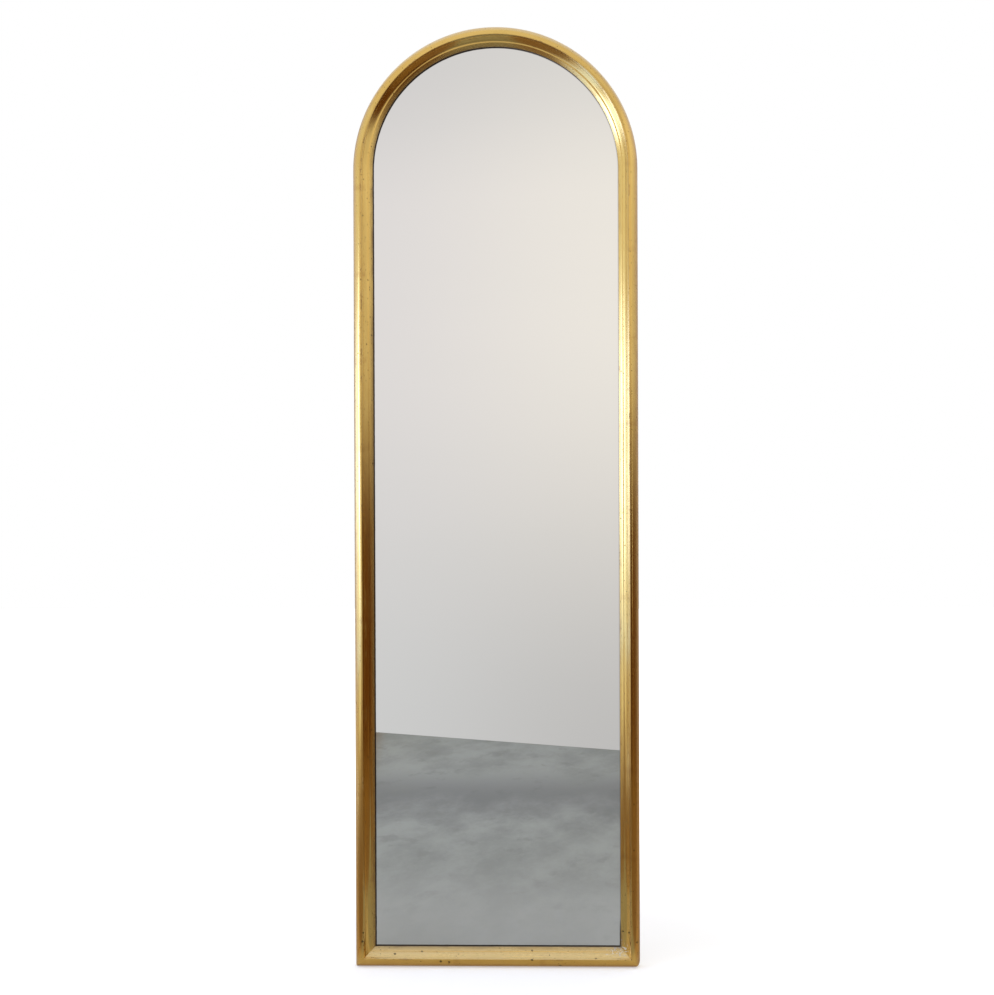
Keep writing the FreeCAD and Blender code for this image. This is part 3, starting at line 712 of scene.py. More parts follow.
@once
def screw_steel(finish):
    return metal("Screw steel", finish.yellow_zinc, 0.28, 0.4)


@once
def nail_steel(finish):
    return metal("Nail steel", finish.steel, 0.40, 0.9)


@once
def bumper_rubber(finish):
    """Dark rubber with a pale bloom in places."""
    material, wiring, shader = new_material("Bumper rubber")
    place = object_place(wiring)
    skin = wiring.grains(place, 1500.0, 2.0)
    bloom = wiring.band(wiring.grains(place, 120.0, 4.0), 0.5, 0.75, 0.0, 0.35)
    tint = wiring.blend(bloom, finish.rubber, RUBBER_BLOOM)
    surface(wiring, shader, Base_Color=tint, Roughness=wiring.band(skin, 0.3, 0.7, 0.55, 0.7),
            Normal=wiring.bump(skin, 0.3, 0.0001))
    return material


# Making meshes

def settings_of(context):
    return context.scene.arched_mirror


def add_piece(name, bm, materials, smooth_angle=20):
    """Turns a finished bmesh into an object at the origin."""
    mesh = bpy.data.meshes.new(name)
    bm.to_mesh(mesh)
    bm.free()
    for material in materials:
        mesh.materials.append(material)
    mesh.shade_smooth()
    mesh.set_sharp_from_angle(angle=math.radians(smooth_angle))
    piece = bpy.data.objects.new(name, mesh)
    bpy.context.scene.collection.objects.link(piece)
    return piece


def dress(piece, body, node, slot):
    """Puts a piece on its body, in place of its CAD node."""
    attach(piece, body)
    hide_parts(node)


def verts_in(items):
    """The vertices among what a mesh operator returns."""
    return [item for item in items if isinstance(item, bmesh.types.BMVert)]


def line_to(bm, pen, point):
    """Draws a straight stretch and returns its end."""
    made = bmesh.ops.extrude_vert_indiv(bm, verts=[pen])["verts"][0]
    made.co = point
    return made


def sweep_round(bm, item, centre, axis, angle, steps):
    """Sweeps a vertex or a face round an axis and returns the vertices at the end."""
    made = bmesh.ops.spin(bm, geom=[item], cent=centre, axis=axis, dvec=(0, 0, 0), angle=angle, steps=steps)
    return verts_in(made["geom_last"])


def arc_to(bm, pen, point, radius, bulge, steps):
    """Draws an arc in the XY plane and returns its end. Bulge is ROUND or HOLLOW."""
    chord = point - pen.co
    rise = math.sqrt(radius ** 2 - chord.length_squared / 4)
    centre = (pen.co + point) / 2 + bulge * rise * Vector((-chord.y, chord.x, 0)).normalized()
    first, last = pen.co - centre, point - centre
    angle = math.atan2(first.x * last.y - first.y * last.x, first.dot(last))
    return sweep_round(bm, pen, centre, (0, 0, 1), angle, steps)[0]


def close_outline(bm, pen, start):
    """Joins the last point to the first and fills the outline."""
    bmesh.ops.contextual_create(bm, geom=[pen, start])
    return bmesh.ops.contextual_create(bm, geom=list(bm.edges))["faces"][0]


def sweep_along(bm, face, way):
    """Sweeps a face in a straight line."""
    made = bmesh.ops.extrude_face_region(bm, geom=[face])["geom"]
    bmesh.ops.translate(bm, verts=verts_in(made), vec=way)


def ease_edges(bm, width, segments=2, angle=35):
    """Takes the sharpness off every edge that turns by more than an angle."""
    limit = math.radians(angle)
    sharp = [edge for edge in bm.edges if edge.is_manifold and edge.calc_face_angle() > limit]
    bmesh.ops.bevel(bm, geom=sharp, offset=width, affect="EDGES", segments=segments, profile=0.5,
                    material=-1, clamp_overlap=True)


def check_closed(bm, name):
    if any(not edge.is_manifold for edge in bm.edges):
        raise RuntimeError(f"{name} is not a closed shape")


# The gilded mouldings

ROUND, HOLLOW = 1, -1
SHOULDER_STEPS = 12
ARC_STEPS = 8
ROUNDING_STEPS = 3
GOLD, SIGHT, WOOD = 0, 1, 2

# How rubbed the edges of the section and the worn corners are, and how far rubbing, and soiling with painted
# shade, reach
BACK_RUBBING = 1.0
CREST_RUBBING = 0.70
ARRIS_RUBBING = 0.25
LIP_RUBBING = 0.30
CORNER_RUBBING = 0.8
RUBBING_REACH = 1.5 * MM
GRIME_AND_SHADE_REACH = 3 * MM

# Metres between the cross lines of the mesh, and beyond a mitre before it is cut
SEGMENT = 0.02
OVERRUN = 0.02
ARCH_STEPS = 56

# Slack for a cut, and for telling which finish a face has
CUT_SLACK = 1e-8
FINISH_SLACK = 0.05 * MM

# Edges that turn by more degrees than this stay sharp
SMOOTH_ANGLE = 32

# Degrees to which the flats on a worn corner face, from the side towards the bottom
STILE_FLATS = (15, 30, 45)
RAIL_FLATS = (75, 60, 45)

# Where the map of each side begins, in metres, so that no two sides have the same marks
LEFT_START, RIGHT_START, BOTTOM_START = 0.0, 3.0, 6.0

# The map goes on by this much where it closes round the section
MAP_GIRTH = 0.12

# Waves of the hand-worked surface, along and forwards, and the height from which the crest stays true
WANDER_ALONG = 9.0
WANDER_FORWARDS = 20.0
TRUE_FROM = 0.97


def draw_section(moulding):
    """The section as one face, with insets along X and heights along -Y, and what its vertices carry."""
    def at(inset, height):
        return Vector((inset, -height, 0))

    bm = bmesh.new()
    turn, slope = math.radians(moulding.shoulder_turn), math.radians(moulding.crest_slope)
    shoulder_inset = moulding.shoulder_radius * (1 - math.cos(turn))
    crown_radius = (moulding.crest_inset - shoulder_inset) / (math.cos(turn) - math.sin(slope))
    shoulder_height = MOULDING_DEPTH - crown_radius * (math.cos(slope) - math.sin(turn))
    side_height = shoulder_height - moulding.shoulder_radius * math.sin(turn)
    shoulder_end = at(shoulder_inset, shoulder_height)
    crest_top = at(moulding.crest_inset, MOULDING_DEPTH)
    arris_top = at(moulding.arris_inset, moulding.arris_height)
    cove_foot = at(moulding.cove_inset, moulding.cove_height)
    lip_edge = at(MOULDING_WIDTH - moulding.sight_bevel, moulding.lip_height)
    rebate_inset = MOULDING_WIDTH - moulding.rebate_width

    start = bm.verts.new(at(0, 0))
    side = line_to(bm, start, at(0, side_height))
    shoulder = arc_to(bm, side, shoulder_end, moulding.shoulder_radius, ROUND, SHOULDER_STEPS)
    crest = arc_to(bm, shoulder, crest_top, crown_radius, ROUND, ARC_STEPS)
    arris = arc_to(bm, crest, arris_top, moulding.upper_hollow, HOLLOW, ARC_STEPS)
    cove_end = arc_to(bm, arris, cove_foot, moulding.lower_hollow, HOLLOW, ARC_STEPS)
    step = line_to(bm, cove_end, at(moulding.cove_inset, moulding.cove_height - moulding.step))
    lip = line_to(bm, step, lip_edge)
    bevel = line_to(bm, lip, at(MOULDING_WIDTH, REBATE_DEPTH + moulding.sight_land))
    land = line_to(bm, bevel, at(MOULDING_WIDTH, REBATE_DEPTH))
    rebate = line_to(bm, land, at(rebate_inset, REBATE_DEPTH))
    back = line_to(bm, rebate, at(rebate_inset, 0))
    close_outline(bm, back, start)

    rubbed_edges = [
        (start.co.copy(), BACK_RUBBING),
        (crest.co.copy(), CREST_RUBBING),
        (arris.co.copy(), ARRIS_RUBBING),
        (lip.co.copy(), LIP_RUBBING),
    ]
    for vert, radius in (
        (start, moulding.crest_round),
        (crest, moulding.crest_round),
        (arris, moulding.crest_round),
        (cove_end, moulding.edge_round),
        (lip, moulding.edge_round),
    ):
        bmesh.ops.bevel(bm, geom=[vert], offset=radius, affect="VERTICES", segments=ROUNDING_STEPS,
                        profile=0.5, material=-1)
    face = bm.faces[:][0]
    mark_section(bm, face, rubbed_edges, lip_edge)
    return bm, face


def mark_section(bm, face, rubbed_edges, lip_edge):
    """Gives each vertex its distance round the section, how rubbed its place is, and how much soiling and
    painted shade it takes near the lip.
    """
    across = bm.verts.layers.float.new(ACROSS)
    rubbed = bm.verts.layers.float.new(RUBBED)
    grimed_and_shaded = bm.verts.layers.float.new(GRIME_AND_SHADE_LAYER)

    # From the outer back corner, up the outer side first
    ring = list(face.verts)
    if ring[1].co.y > ring[-1].co.y:
        ring.reverse()
    origin = min(range(len(ring)), key=lambda i: ring[i].co.x + abs(ring[i].co.y))
    ring = ring[origin:] + ring[:origin]
    if ring[1].co.x > ring[-1].co.x:
        ring = ring[:1] + ring[:0:-1]

    walked = 0.0
    for before, vert in zip([ring[0]] + ring[:-1], ring):
        walked += (vert.co - before.co).length
        vert[across] = walked
        vert[grimed_and_shaded] = math.exp(-((vert.co - lip_edge).length / GRIME_AND_SHADE_REACH) ** 2)
        vert[rubbed] = max(
            share * math.exp(-((vert.co - edge).length / RUBBING_REACH) ** 2)
            for edge, share in rubbed_edges
        )


def cut_away(bm, point, normal, material_index, rubbing=None):
    """Cuts off what lies beyond a plane and closes the cut."""
    everything = bm.verts[:] + bm.edges[:] + bm.faces[:]
    cut = bmesh.ops.bisect_plane(bm, geom=everything, dist=CUT_SLACK, plane_co=point, plane_no=normal,
                                 clear_outer=True)
    edges = [item for item in cut["geom_cut"] if isinstance(item, bmesh.types.BMEdge)]
    if not edges:
        raise RuntimeError("a cut through the moulding meets nothing")
    rubbed = bm.verts.layers.float[RUBBED]
    for face in bmesh.ops.holes_fill(bm, edges=edges, sides=0)["faces"]:
        face.material_index = material_index
        if rubbing is not None:
            for vert in face.verts:
                vert[rubbed] = rubbing


def choose_finish(bm, moulding, section_of):
    """Gold in front and outside, toned sight edge, bare wood behind and on the many-sided end faces."""
    rebate_start = MOULDING_WIDTH - moulding.rebate_width - FINISH_SLACK
    sight_start = MOULDING_WIDTH - moulding.sight_bevel + FINISH_SLACK
    for face in bm.faces:
        inset, height = section_of(face.calc_center_median())
        in_rebate = height < REBATE_DEPTH + FINISH_SLACK and inset > rebate_start
        if len(face.verts) > 4 or height < FINISH_SLACK or in_rebate:
            face.material_index = WOOD
        elif inset > sight_start:
            face.material_index = SIGHT
        else:
            face.material_index = GOLD


def lay_map(bm, along_of):
    """Metres along and across the moulding, as its map."""
    across = bm.verts.layers.float[ACROSS]
    layer = bm.loops.layers.uv.new(MOULDING_MAP)
    for face in bm.faces:
        places = [vert[across] for vert in face.verts]
        closes_round = max(places) - min(places) > MOULDING_DEPTH
        for loop in face.loops:
            place = loop.vert[across]
            if closes_round and place < MOULDING_DEPTH / 4:
                place += MAP_GIRTH
            loop[layer].uv = (along_of(loop.vert.co), place)


def work_by_hand(bm, moulding, along_of):
    """Lets the front stray a little from a true surface, as gesso smoothed by hand does."""
    for vert in bm.verts:
        share = max(0.0, -vert.co.y / MOULDING_DEPTH)
        if share <= TRUE_FROM:
            wave = Vector((along_of(vert.co) * WANDER_ALONG, vert.co.y * WANDER_FORWARDS, 0.0))
            vert.co.y -= moulding.hand_work * share * noise.noise(wave)


def finish_moulding(context, name, node, bm, along_of):
    """Makes a piece of a length of moulding, with its map, its surface and its materials."""
    settings = settings_of(context)
    bmesh.ops.recalc_face_normals(bm, faces=bm.faces)
    check_closed(bm, name)
    lay_map(bm, along_of)
    work_by_hand(bm, settings.moulding, along_of)
    materials = [
        gold_leaf(settings.finish, settings.moulding),
        sight_edge(settings.finish),
        bare_wood(settings.finish),
    ]
    piece = add_piece(name, bm, materials, SMOOTH_ANGLE)
    dress(piece, "frame", node, "gilded_wood")


def straight_length(moulding, start, end):
    """A straight length of moulding along Z."""
    bm, face = draw_section(moulding)
    bmesh.ops.translate(bm, verts=bm.verts, vec=(0, 0, start))
    sweep_along(bm, face, (0, 0, end - start))
    long_edges = [e for e in bm.edges if abs(e.verts[0].co.z - e.verts[1].co.z) > (end - start) / 2]
    bmesh.ops.subdivide_edges(bm, edges=long_edges, cuts=round((end - start) / SEGMENT), use_grid_fill=True)
    choose_finish(bm, moulding, lambda point: (point.x, -point.y))
    return bm


def wear_corner(bm, radius, angles):
    """Rounds the outer corner at the origin, which lies towards -X and -Z, with flats that run along Y."""
    centre = Vector((radius, 0, radius))
    for angle in angles:
        turn = math.radians(angle)
        outwards = Vector((-math.cos(turn), 0, -math.sin(turn)))
        cut_away(bm, centre + radius * outwards, outwards, GOLD, rubbing=CORNER_RUBBING)


def swap_sides(bm):
    bmesh.ops.scale(bm, vec=(-1, 1, 1), verts=bm.verts)


class MIRROR_OT_stiles(Operator):
    """Make the two gilded stiles"""
    bl_idname = "arched_mirror.stiles"
    bl_label = "Stiles"

    def execute(self, context):
        moulding = settings_of(context).moulding
        for side, wear, start in (
            ("left", moulding.left_wear, LEFT_START),
            ("right", moulding.right_wear, RIGHT_START),
        ):
            def along_of(point, start=start):
                return start + point.z

            bm = straight_length(moulding, -OVERRUN, SPRING_LINE)
            cut_away(bm, (0, 0, 0), (1, 0, -1), WOOD)
            wear_corner(bm, wear, STILE_FLATS)
            bmesh.ops.translate(bm, verts=bm.verts, vec=(-HALF_WIDTH, 0, 0))
            if side == "right":
                swap_sides(bm)
            finish_moulding(context, f"gilded_{side}_stile", f"{side}_stile", bm, along_of)
        return {"FINISHED"}


class MIRROR_OT_bottom_rail(Operator):
    """Make the gilded bottom rail"""
    bl_idname = "arched_mirror.bottom_rail"
    bl_label = "Bottom rail"

    def execute(self, context):
        def along_of(point):
            return BOTTOM_START + point.x

        moulding = settings_of(context).moulding
        bm = straight_length(moulding, -HALF_WIDTH - OVERRUN, HALF_WIDTH + OVERRUN)

        # Upright to level: X and Z change places
        lay_level = Matrix(((0, 0, 1, 0), (0, 1, 0, 0), (1, 0, 0, 0), (0, 0, 0, 1)))
        bmesh.ops.transform(bm, matrix=lay_level, verts=bm.verts)
        for wear in (moulding.left_wear, moulding.right_wear):
            bmesh.ops.translate(bm, verts=bm.verts, vec=(HALF_WIDTH, 0, 0))
            cut_away(bm, (0, 0, 0), (-1, 0, 1), WOOD)
            wear_corner(bm, wear, RAIL_FLATS)
            bmesh.ops.translate(bm, verts=bm.verts, vec=(-HALF_WIDTH, 0, 0))
            swap_sides(bm)
        finish_moulding(context, "gilded_bottom_rail", "bottom_rail", bm, along_of)
        return {"FINISHED"}


class MIRROR_OT_head(Operator):
    """Make the two gilded quarters of the head"""
    bl_idname = "arched_mirror.head"
    bl_label = "Head"

    def execute(self, context):
        def section_of(point):
            return HALF_WIDTH - Vector((point.x, point.z - SPRING_LINE)).length, -point.y

        moulding = settings_of(context).moulding
        middle = Vector((0, 0, SPRING_LINE))
        for side, start in (("left", LEFT_START), ("right", RIGHT_START)):
            def along_of(point, start=start):
                return start + SPRING_LINE + HALF_WIDTH * math.atan2(point.z - SPRING_LINE, abs(point.x))

            bm, face = draw_section(moulding)
            bmesh.ops.translate(bm, verts=bm.verts, vec=(-HALF_WIDTH, 0, SPRING_LINE))
            sweep_round(bm, face, middle, (0, 1, 0), math.pi / 2, ARCH_STEPS)
            choose_finish(bm, moulding, section_of)
            if side == "right":
                swap_sides(bm)
            finish_moulding(context, f"gilded_arch_{side}", f"arch_{side}", bm, along_of)
        return {"FINISHED"}


# The pane and the sheets behind it

SHEET_STEPS = 96
PANE_EASE = 0.5 * MM
CARD_EASE = 0.2 * MM
BOARD_EASE = 0.4 * MM
PANE_FRONT, PANE_EDGE, PANE_BACK = 0, 1, 2

# How nearly a face has to look forwards or backwards to count as the front or the back
SQUARE_ON = 0.99


def arched_sheet(node, eased):
    """A flat sheet with the outline of its CAD node, and its edges eased."""
    low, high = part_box(node)
    bm = bmesh.new()
    spring = Vector((0, low.y, SPRING_LINE))
    start = bm.verts.new((high.x, low.y, low.z))
    foot = line_to(bm, start, Vector((high.x, low.y, SPRING_LINE)))
    pen = sweep_round(bm, foot, spring, (0, -1, 0), math.pi, SHEET_STEPS)[0]
    pen = line_to(bm, pen, Vector((low.x, low.y, low.z)))
    sweep_along(bm, close_outline(bm, pen, start), (0, high.y - low.y, 0))
    bmesh.ops.recalc_face_normals(bm, faces=bm.faces)
    ease_edges(bm, eased)
    check_closed(bm, node)
    return bm


def pane_side(normal):
    """The material of a face of the pane."""
    if normal.y < -SQUARE_ON:
        return PANE_FRONT
    if normal.y > SQUARE_ON:
        return PANE_BACK
    return PANE_EDGE


class MIRROR_OT_pane(Operator):
    """Make the silvered pane"""
    bl_idname = "arched_mirror.pane"
    bl_label = "Pane"

    def execute(self, context):
        bm = arched_sheet("mirror_glass", PANE_EASE)
        for face in bm.faces:
            face.material_index = pane_side(face.normal)
        materials = [silvered_face(settings_of(context).finish), glass_edge(), back_paint()]
        piece = add_piece("silvered_pane", bm, materials)
        dress(piece, "frame", "mirror_glass", "silvered_glass")
        return {"FINISHED"}


class MIRROR_OT_backing(Operator):
    """Make the card and the hardboard behind the pane"""
    bl_idname = "arched_mirror.backing"
    bl_label = "Backing"

    def execute(self, context):
        finish = settings_of(context).finish
        for node, name, slot, material, eased in (
            ("backing_card", "card_sheet", "card", grey_card(finish), CARD_EASE),
            ("back_board", "hardboard_back", "hardboard", hardboard(finish), BOARD_EASE),
        ):
            piece = add_piece(name, arched_sheet(node, eased), [material])
            dress(piece, "frame", node, slot)
        return {"FINISHED"}


# Hardware, with the shapes of its CAD nodes

# Corners nearer than this are one, and faces that turn by less than this are flat
JOIN_DISTANCE = 1e-6
FLAT_ANGLE = math.radians(0.5)

STRAP_EASE = 0.2 * MM
RING_EASE = 0.1 * MM
BUTTON_EASE = 0.25 * MM
SCREW_EASE = 0.12 * MM
BUMPER_EASE = 1.2 * MM
BUMPER_SEGMENTS = 4


def merged_copy(node):
    """The CAD node's own shape with its triangles joined up."""
    bm = bmesh.new()
    bm.from_mesh(frame["nodes"][node].data)
    bmesh.ops.remove_doubles(bm, verts=bm.verts, dist=JOIN_DISTANCE)
    bmesh.ops.dissolve_limit(bm, angle_limit=FLAT_ANGLE, verts=bm.verts, edges=bm.edges,
                             use_dissolve_boundaries=False)
    return bm


def eased_piece(name, node, body, slot, material, width, segments=2):
    """A piece with the shape of its CAD node and eased edges."""
    bm = merged_copy(node)
    ease_edges(bm, width, segments)
    dress(add_piece(name, bm, [material]), body, node, slot)


class MIRROR_OT_hangers(Operator):
    """Make the hanger straps and D-rings"""
    bl_idname = "arched_mirror.hangers"
    bl_label = "Hangers"

    def execute(self, context):
        material = zinc_plate(settings_of(context).finish)
        for side in ("left", "right"):
            eased_piece(f"folded_strap_{side}", f"hanger_strap_{side}", "frame", "plated_steel", material,
                        STRAP_EASE)
            eased_piece(f"wire_ring_{side}", f"hanger_ring_{side}", f"ring_{side}", "plated_steel", material,
                        RING_EASE)
        return {"FINISHED"}


class MIRROR_OT_turn_buttons(Operator):
    """Make the turn buttons"""
    bl_idname = "arched_mirror.turn_buttons"
    bl_label = "Turn buttons"

    def execute(self, context):
        material = button_plate(settings_of(context).finish)
        for body in sorted(frame["bodies"]):
            if body.startswith("button_"):
                name = body.removeprefix("button_")
                eased_piece(f"button_plate_{name}", f"turn_button_{name}", body, "button_steel", material,
                            BUTTON_EASE)
        return {"FINISHED"}


class MIRROR_OT_screws(Operator):
    """Make the screws of the hangers and the turn buttons"""
    bl_idname = "arched_mirror.screws"
    bl_label = "Screws"

    def execute(self, context):
        material = screw_steel(settings_of(context).finish)
        for node in ("hanger_screws", "turn_button_screws"):
            eased_piece(f"pan_head_{node}", node, "frame", "screw_steel", material, SCREW_EASE)
        return {"FINISHED"}


class MIRROR_OT_bumpers(Operator):
    """Make the wall bumpers"""
    bl_idname = "arched_mirror.bumpers"
    bl_label = "Bumpers"

    def execute(self, context):
        material = bumper_rubber(settings_of(context).finish)
        eased_piece("rubber_bumpers", "wall_bumpers", "frame", "bumper_rubber", material,
                    BUMPER_EASE, BUMPER_SEGMENTS)
        return {"FINISHED"}


class MIRROR_OT_hidden_joinery(Operator):
    """Give the dowels, nails and shims their finishes"""
    bl_idname = "arched_mirror.hidden_joinery"
    bl_label = "Hidden joinery"

    def execute(self, context):
        finish = settings_of(context).finish
        for node, material in (
            ("frame_dowels", dowel_wood(finish)),
            ("mitre_v_nails", nail_steel(finish)),
            ("glass_shims", cork(finish)),
        ):
            for holder in frame["nodes"][node].material_slots:
                holder.material = material
        return {"FINISHED"}


# The studio, in metres

ROOM_HEIGHT = 3.0
FLOOR_REACH = 9.0
FLOOR_LEVEL = -0.001
WALL_LEFT_END = Vector((-2.6, -3.85, 0.0))
WALL_RIGHT_END = Vector((1.4, -1.92, 0.0))
SIDE_DISTANCE = 2.2
SIDE_START = -2.8
LEFT_SIDE_LENGTH = 7.0
RIGHT_SIDE_LENGTH = 5.0
SILL_CORNER = (-2.15, -2.9, 0.40)
SILL_DEPTH = 1.1
SILL_LENGTH = 3.1
CEILING_CORNER = (-2.6, -4.0, ROOM_HEIGHT)
CEILING_WIDTH = 4.8
CEILING_LENGTH = 4.6
SENSOR_WIDTH = 36

# Light that the panels of the room give off
DAYLIGHT = (0.80, 1.10, 2.1)
SILL_LIGHT = 1.4
SILL_IN_SHADE = (0.62, 0.57, 0.55)
DARK_WOOD = (0.095, 0.036, 0.008)
# Low on the right side: a dark stretch, and behind the frame a wall in painted shade
DARK_LOW_RIGHT = (0.130, 0.052, 0.013)
SHADED_WALL_BEHIND = (0.45, 0.36, 0.30)
PLASTER_LOW_LEFT, PLASTER_LOW_RIGHT = (0.66, 0.66, 0.655), (0.56, 0.55, 0.54)
PLASTER_HIGH_LEFT, PLASTER_HIGH_RIGHT = (0.81, 0.775, 0.76), (0.92, 0.87, 0.80)
PLASTER_UNDER_CEILING = (0.58, 0.58, 0.58)
LOW_WALL_NEAR = (1.05, 1.15, 1.30)
LOW_WALL_MIDDLE = (0.62, 0.54, 0.44)
LOW_WALL_BEYOND = (0.95, 0.95, 0.95)
HIGH_WALL = (0.92, 0.96, 1.02)
BEHIND_LOW, BEHIND_HIGH = (0.36, 0.27, 0.17), (0.64, 0.58, 0.48)
FAR_BEHIND = (0.26, 0.19, 0.11)
RIGHT_WALL, RIGHT_WALL_HIGH = (0.80, 0.80, 0.80), (1.08, 1.08, 1.08)
CEILING_LEFT, CEILING_RIGHT = (0.95, 0.94, 0.91), (0.88, 0.87, 0.84)

# The floor: how the glass and the frame reflect it, and how the camera sees it
CONCRETE, PALE_CONCRETE = (0.325, 0.332, 0.300), (0.41, 0.417, 0.379)
STAINED_CONCRETE = (0.29, 0.296, 0.264)
SHADED_CONCRETE = (0.22, 0.22, 0.21)
NEAR_CONCRETE = (0.52, 0.52, 0.485)
FLOOR_BESIDE = (0.29, 0.185, 0.10)
FLOOR_RIGHT = (0.34, 0.21, 0.085)
FLOOR_LEFT = (0.44, 0.29, 0.15)
SUNLIT_FLOOR = (1.0, 1.0, 1.0)
NO_GLOW = (0.0, 0.0, 0.0)
GLOW_AT_FOOT = (0.22, 0.165, 0.085)
SUNLIT_GLOW = (0.30, 0.36, 0.42)
WHITE_FLOOR = (0.8, 0.8, 0.8)
WHITE = (1, 1, 1)


def stage_panel(name, corner, first_edge, second_edge, material):
    """A flat stage panel, spanned by two edges from a corner."""
    bm = bmesh.new()
    start = bm.verts.new(corner)
    side = bmesh.ops.extrude_vert_indiv(bm, verts=[start])
    bmesh.ops.translate(bm, verts=side["verts"], vec=first_edge)
    sweep = bmesh.ops.extrude_edge_only(bm, edges=side["edges"])["geom"]
    bmesh.ops.translate(bm, verts=verts_in(sweep), vec=second_edge)
    panel = add_piece(name, bm, [material])
    return panel


def glowing(name, tint_of):
    """A material that gives off the light of a lit wall."""
    material = bpy.data.materials.new(name)
    wiring = emptied(material)
    axes = wiring.split(object_place(wiring))
    wiring.put_out(wiring.node("Emission", Color=tint_of(wiring, axes)))
    return material


def far_wall_tint(wiring, axes):
    """Pale plaster, lighter and warmer up to the right, with dark furniture low on the right."""
    rightwards = wiring.band(axes[0], -0.75, 0.25)
    low = wiring.blend(rightwards, PLASTER_LOW_LEFT, PLASTER_LOW_RIGHT)
    high = wiring.blend(rightwards, PLASTER_HIGH_LEFT, PLASTER_HIGH_RIGHT)
    beside = wiring.band(axes[0], 0.38, 0.62)
    furniture = wiring.product(beside, wiring.band(axes[2], 0.66, 1.44, 1.0, 0.0))
    return wiring.layered(
        low,
        (wiring.band(axes[2], -0.1, 1.45), high),
        (wiring.band(axes[2], 1.75, 2.35, 0.0, 0.5), PLASTER_UNDER_CEILING),
        (furniture, DARK_WOOD),
    )


def window_share(wiring, axes):
    """Where the window is: a tall one, brightest in the middle of its height and towards the camera."""
    foot = wiring.product(wiring.math("MINIMUM", wiring.total(axes[1], 1.4), 0.0), 0.10)
    rise = wiring.band(wiring.less(axes[2], foot), 0.32, 0.95)
    lean = wiring.product(wiring.total(axes[1], 1.6), 0.10)
    fall = wiring.band(wiring.total(axes[2], lean), 1.25, 1.62, 1.0, 0.0)
    near_end = wiring.band(axes[1], -2.75, -2.10)
    sides = wiring.product(near_end, wiring.band(axes[1], -1.85, -1.40, 1.0, 0.40))
    sides = wiring.product(sides, wiring.band(axes[1], 0.2, 0.9, 1.0, 0.0))
    return wiring.product(wiring.product(rise, fall), sides)


def left_side_tint(window_light):
    """A window in a pale wall that is browner low down and behind the frame."""
    def tint(wiring, axes):
        below = wiring.layered(
            LOW_WALL_NEAR,
            (wiring.band(axes[1], -1.7, -1.1), LOW_WALL_MIDDLE),
            (wiring.band(axes[1], 0.2, 0.7), LOW_WALL_BEYOND),
        )
        behind = wiring.blend(wiring.band(axes[2], 0.0, 0.6), BEHIND_LOW, BEHIND_HIGH)
        return wiring.layered(
            below,
            (wiring.band(axes[2], 0.0, 0.5), HIGH_WALL),
            (wiring.band(axes[1], 1.0, 1.5), behind),
            (wiring.band(axes[1], 1.8, 2.3), FAR_BEHIND),
            (window_share(wiring, axes), tuple(window_light * part for part in DAYLIGHT)),
        )
    return tint


def sill_tint(wiring, axes):
    """A sill in daylight under the window, dimmer towards the room."""
    depth = wiring.band(axes[0], -1.60, -1.05, 1.0, 0.0)
    ends = wiring.product(wiring.band(axes[1], -2.9, -2.6), wiring.band(axes[1], -0.25, 0.15, 1.0, 0.0))
    lit = tuple(SILL_LIGHT * part for part in DAYLIGHT)
    return wiring.blend(wiring.product(depth, ends), SILL_IN_SHADE, lit)


def right_side_tint(wiring, axes):
    """Dark low down and paler behind the frame, where a wall in painted shade stands, under a wall that is
    lighter up high.
    """
    low_right = wiring.blend(wiring.band(axes[1], -0.1, 0.7), DARK_LOW_RIGHT, SHADED_WALL_BEHIND)
    wall = wiring.blend(wiring.band(axes[2], 1.4, 2.4), RIGHT_WALL, RIGHT_WALL_HIGH)
    return wiring.blend(wiring.band(axes[2], 0.68, 1.28), low_right, wall)


def ceiling_tint(wiring, axes):
    """A pale ceiling, lighter on the side of the window."""
    return wiring.blend(wiring.band(axes[0], -2.0, 2.0), CEILING_LEFT, CEILING_RIGHT)


def concrete_tint(wiring, place, axes, sunlit):
    """Grey concrete in a strip that the glass reflects, and the brown floor beside it."""
    cloud = wiring.grains(wiring.stretch(place, (7, 2.6, 1)), 1.0, 7.0, 0.66)
    stain = wiring.grains(wiring.stretch(place, (13, 6, 1)), 1.0, 4.0, 0.6)
    drift = wiring.total(axes[1], wiring.product(wiring.less(cloud, 0.5), 0.7))
    shade = wiring.product(wiring.band(drift, -2.1, -1.72), wiring.band(drift, -1.72, -1.15, 1.0, 0.0))
    from_middle = wiring.total(wiring.product(axes[1], 0.12), wiring.math("ABSOLUTE", axes[0]))
    return wiring.layered(
        CONCRETE,
        (wiring.band(cloud, 0.32, 0.68), PALE_CONCRETE),
        (wiring.band(stain, 0.55, 0.70, 0.0, 0.6), STAINED_CONCRETE),
        (wiring.product(shade, 0.62), SHADED_CONCRETE),
        (wiring.band(axes[1], -0.9, -0.3, 0.0, 0.5), NEAR_CONCRETE),
        (wiring.band(from_middle, 0.27, 0.36), FLOOR_BESIDE),
        (wiring.band(axes[0], 0.85, 1.2), FLOOR_RIGHT),
        (wiring.band(axes[0], -1.7, -1.25, 1.0, 0.0), FLOOR_LEFT),
        (sunlit, SUNLIT_FLOOR),
    )


def dull_and_glowing(wiring, tint, glow, strength=1.0):
    """A dull surface that also gives off light."""
    both = wiring.node("AddShader")
    wiring.join(wiring.node("BsdfDiffuse", Color=tint).outputs[0], both.inputs[0])
    wiring.join(wiring.node("Emission", Color=glow, Strength=strength).outputs[0], both.inputs[1])
    return both.outputs[0]


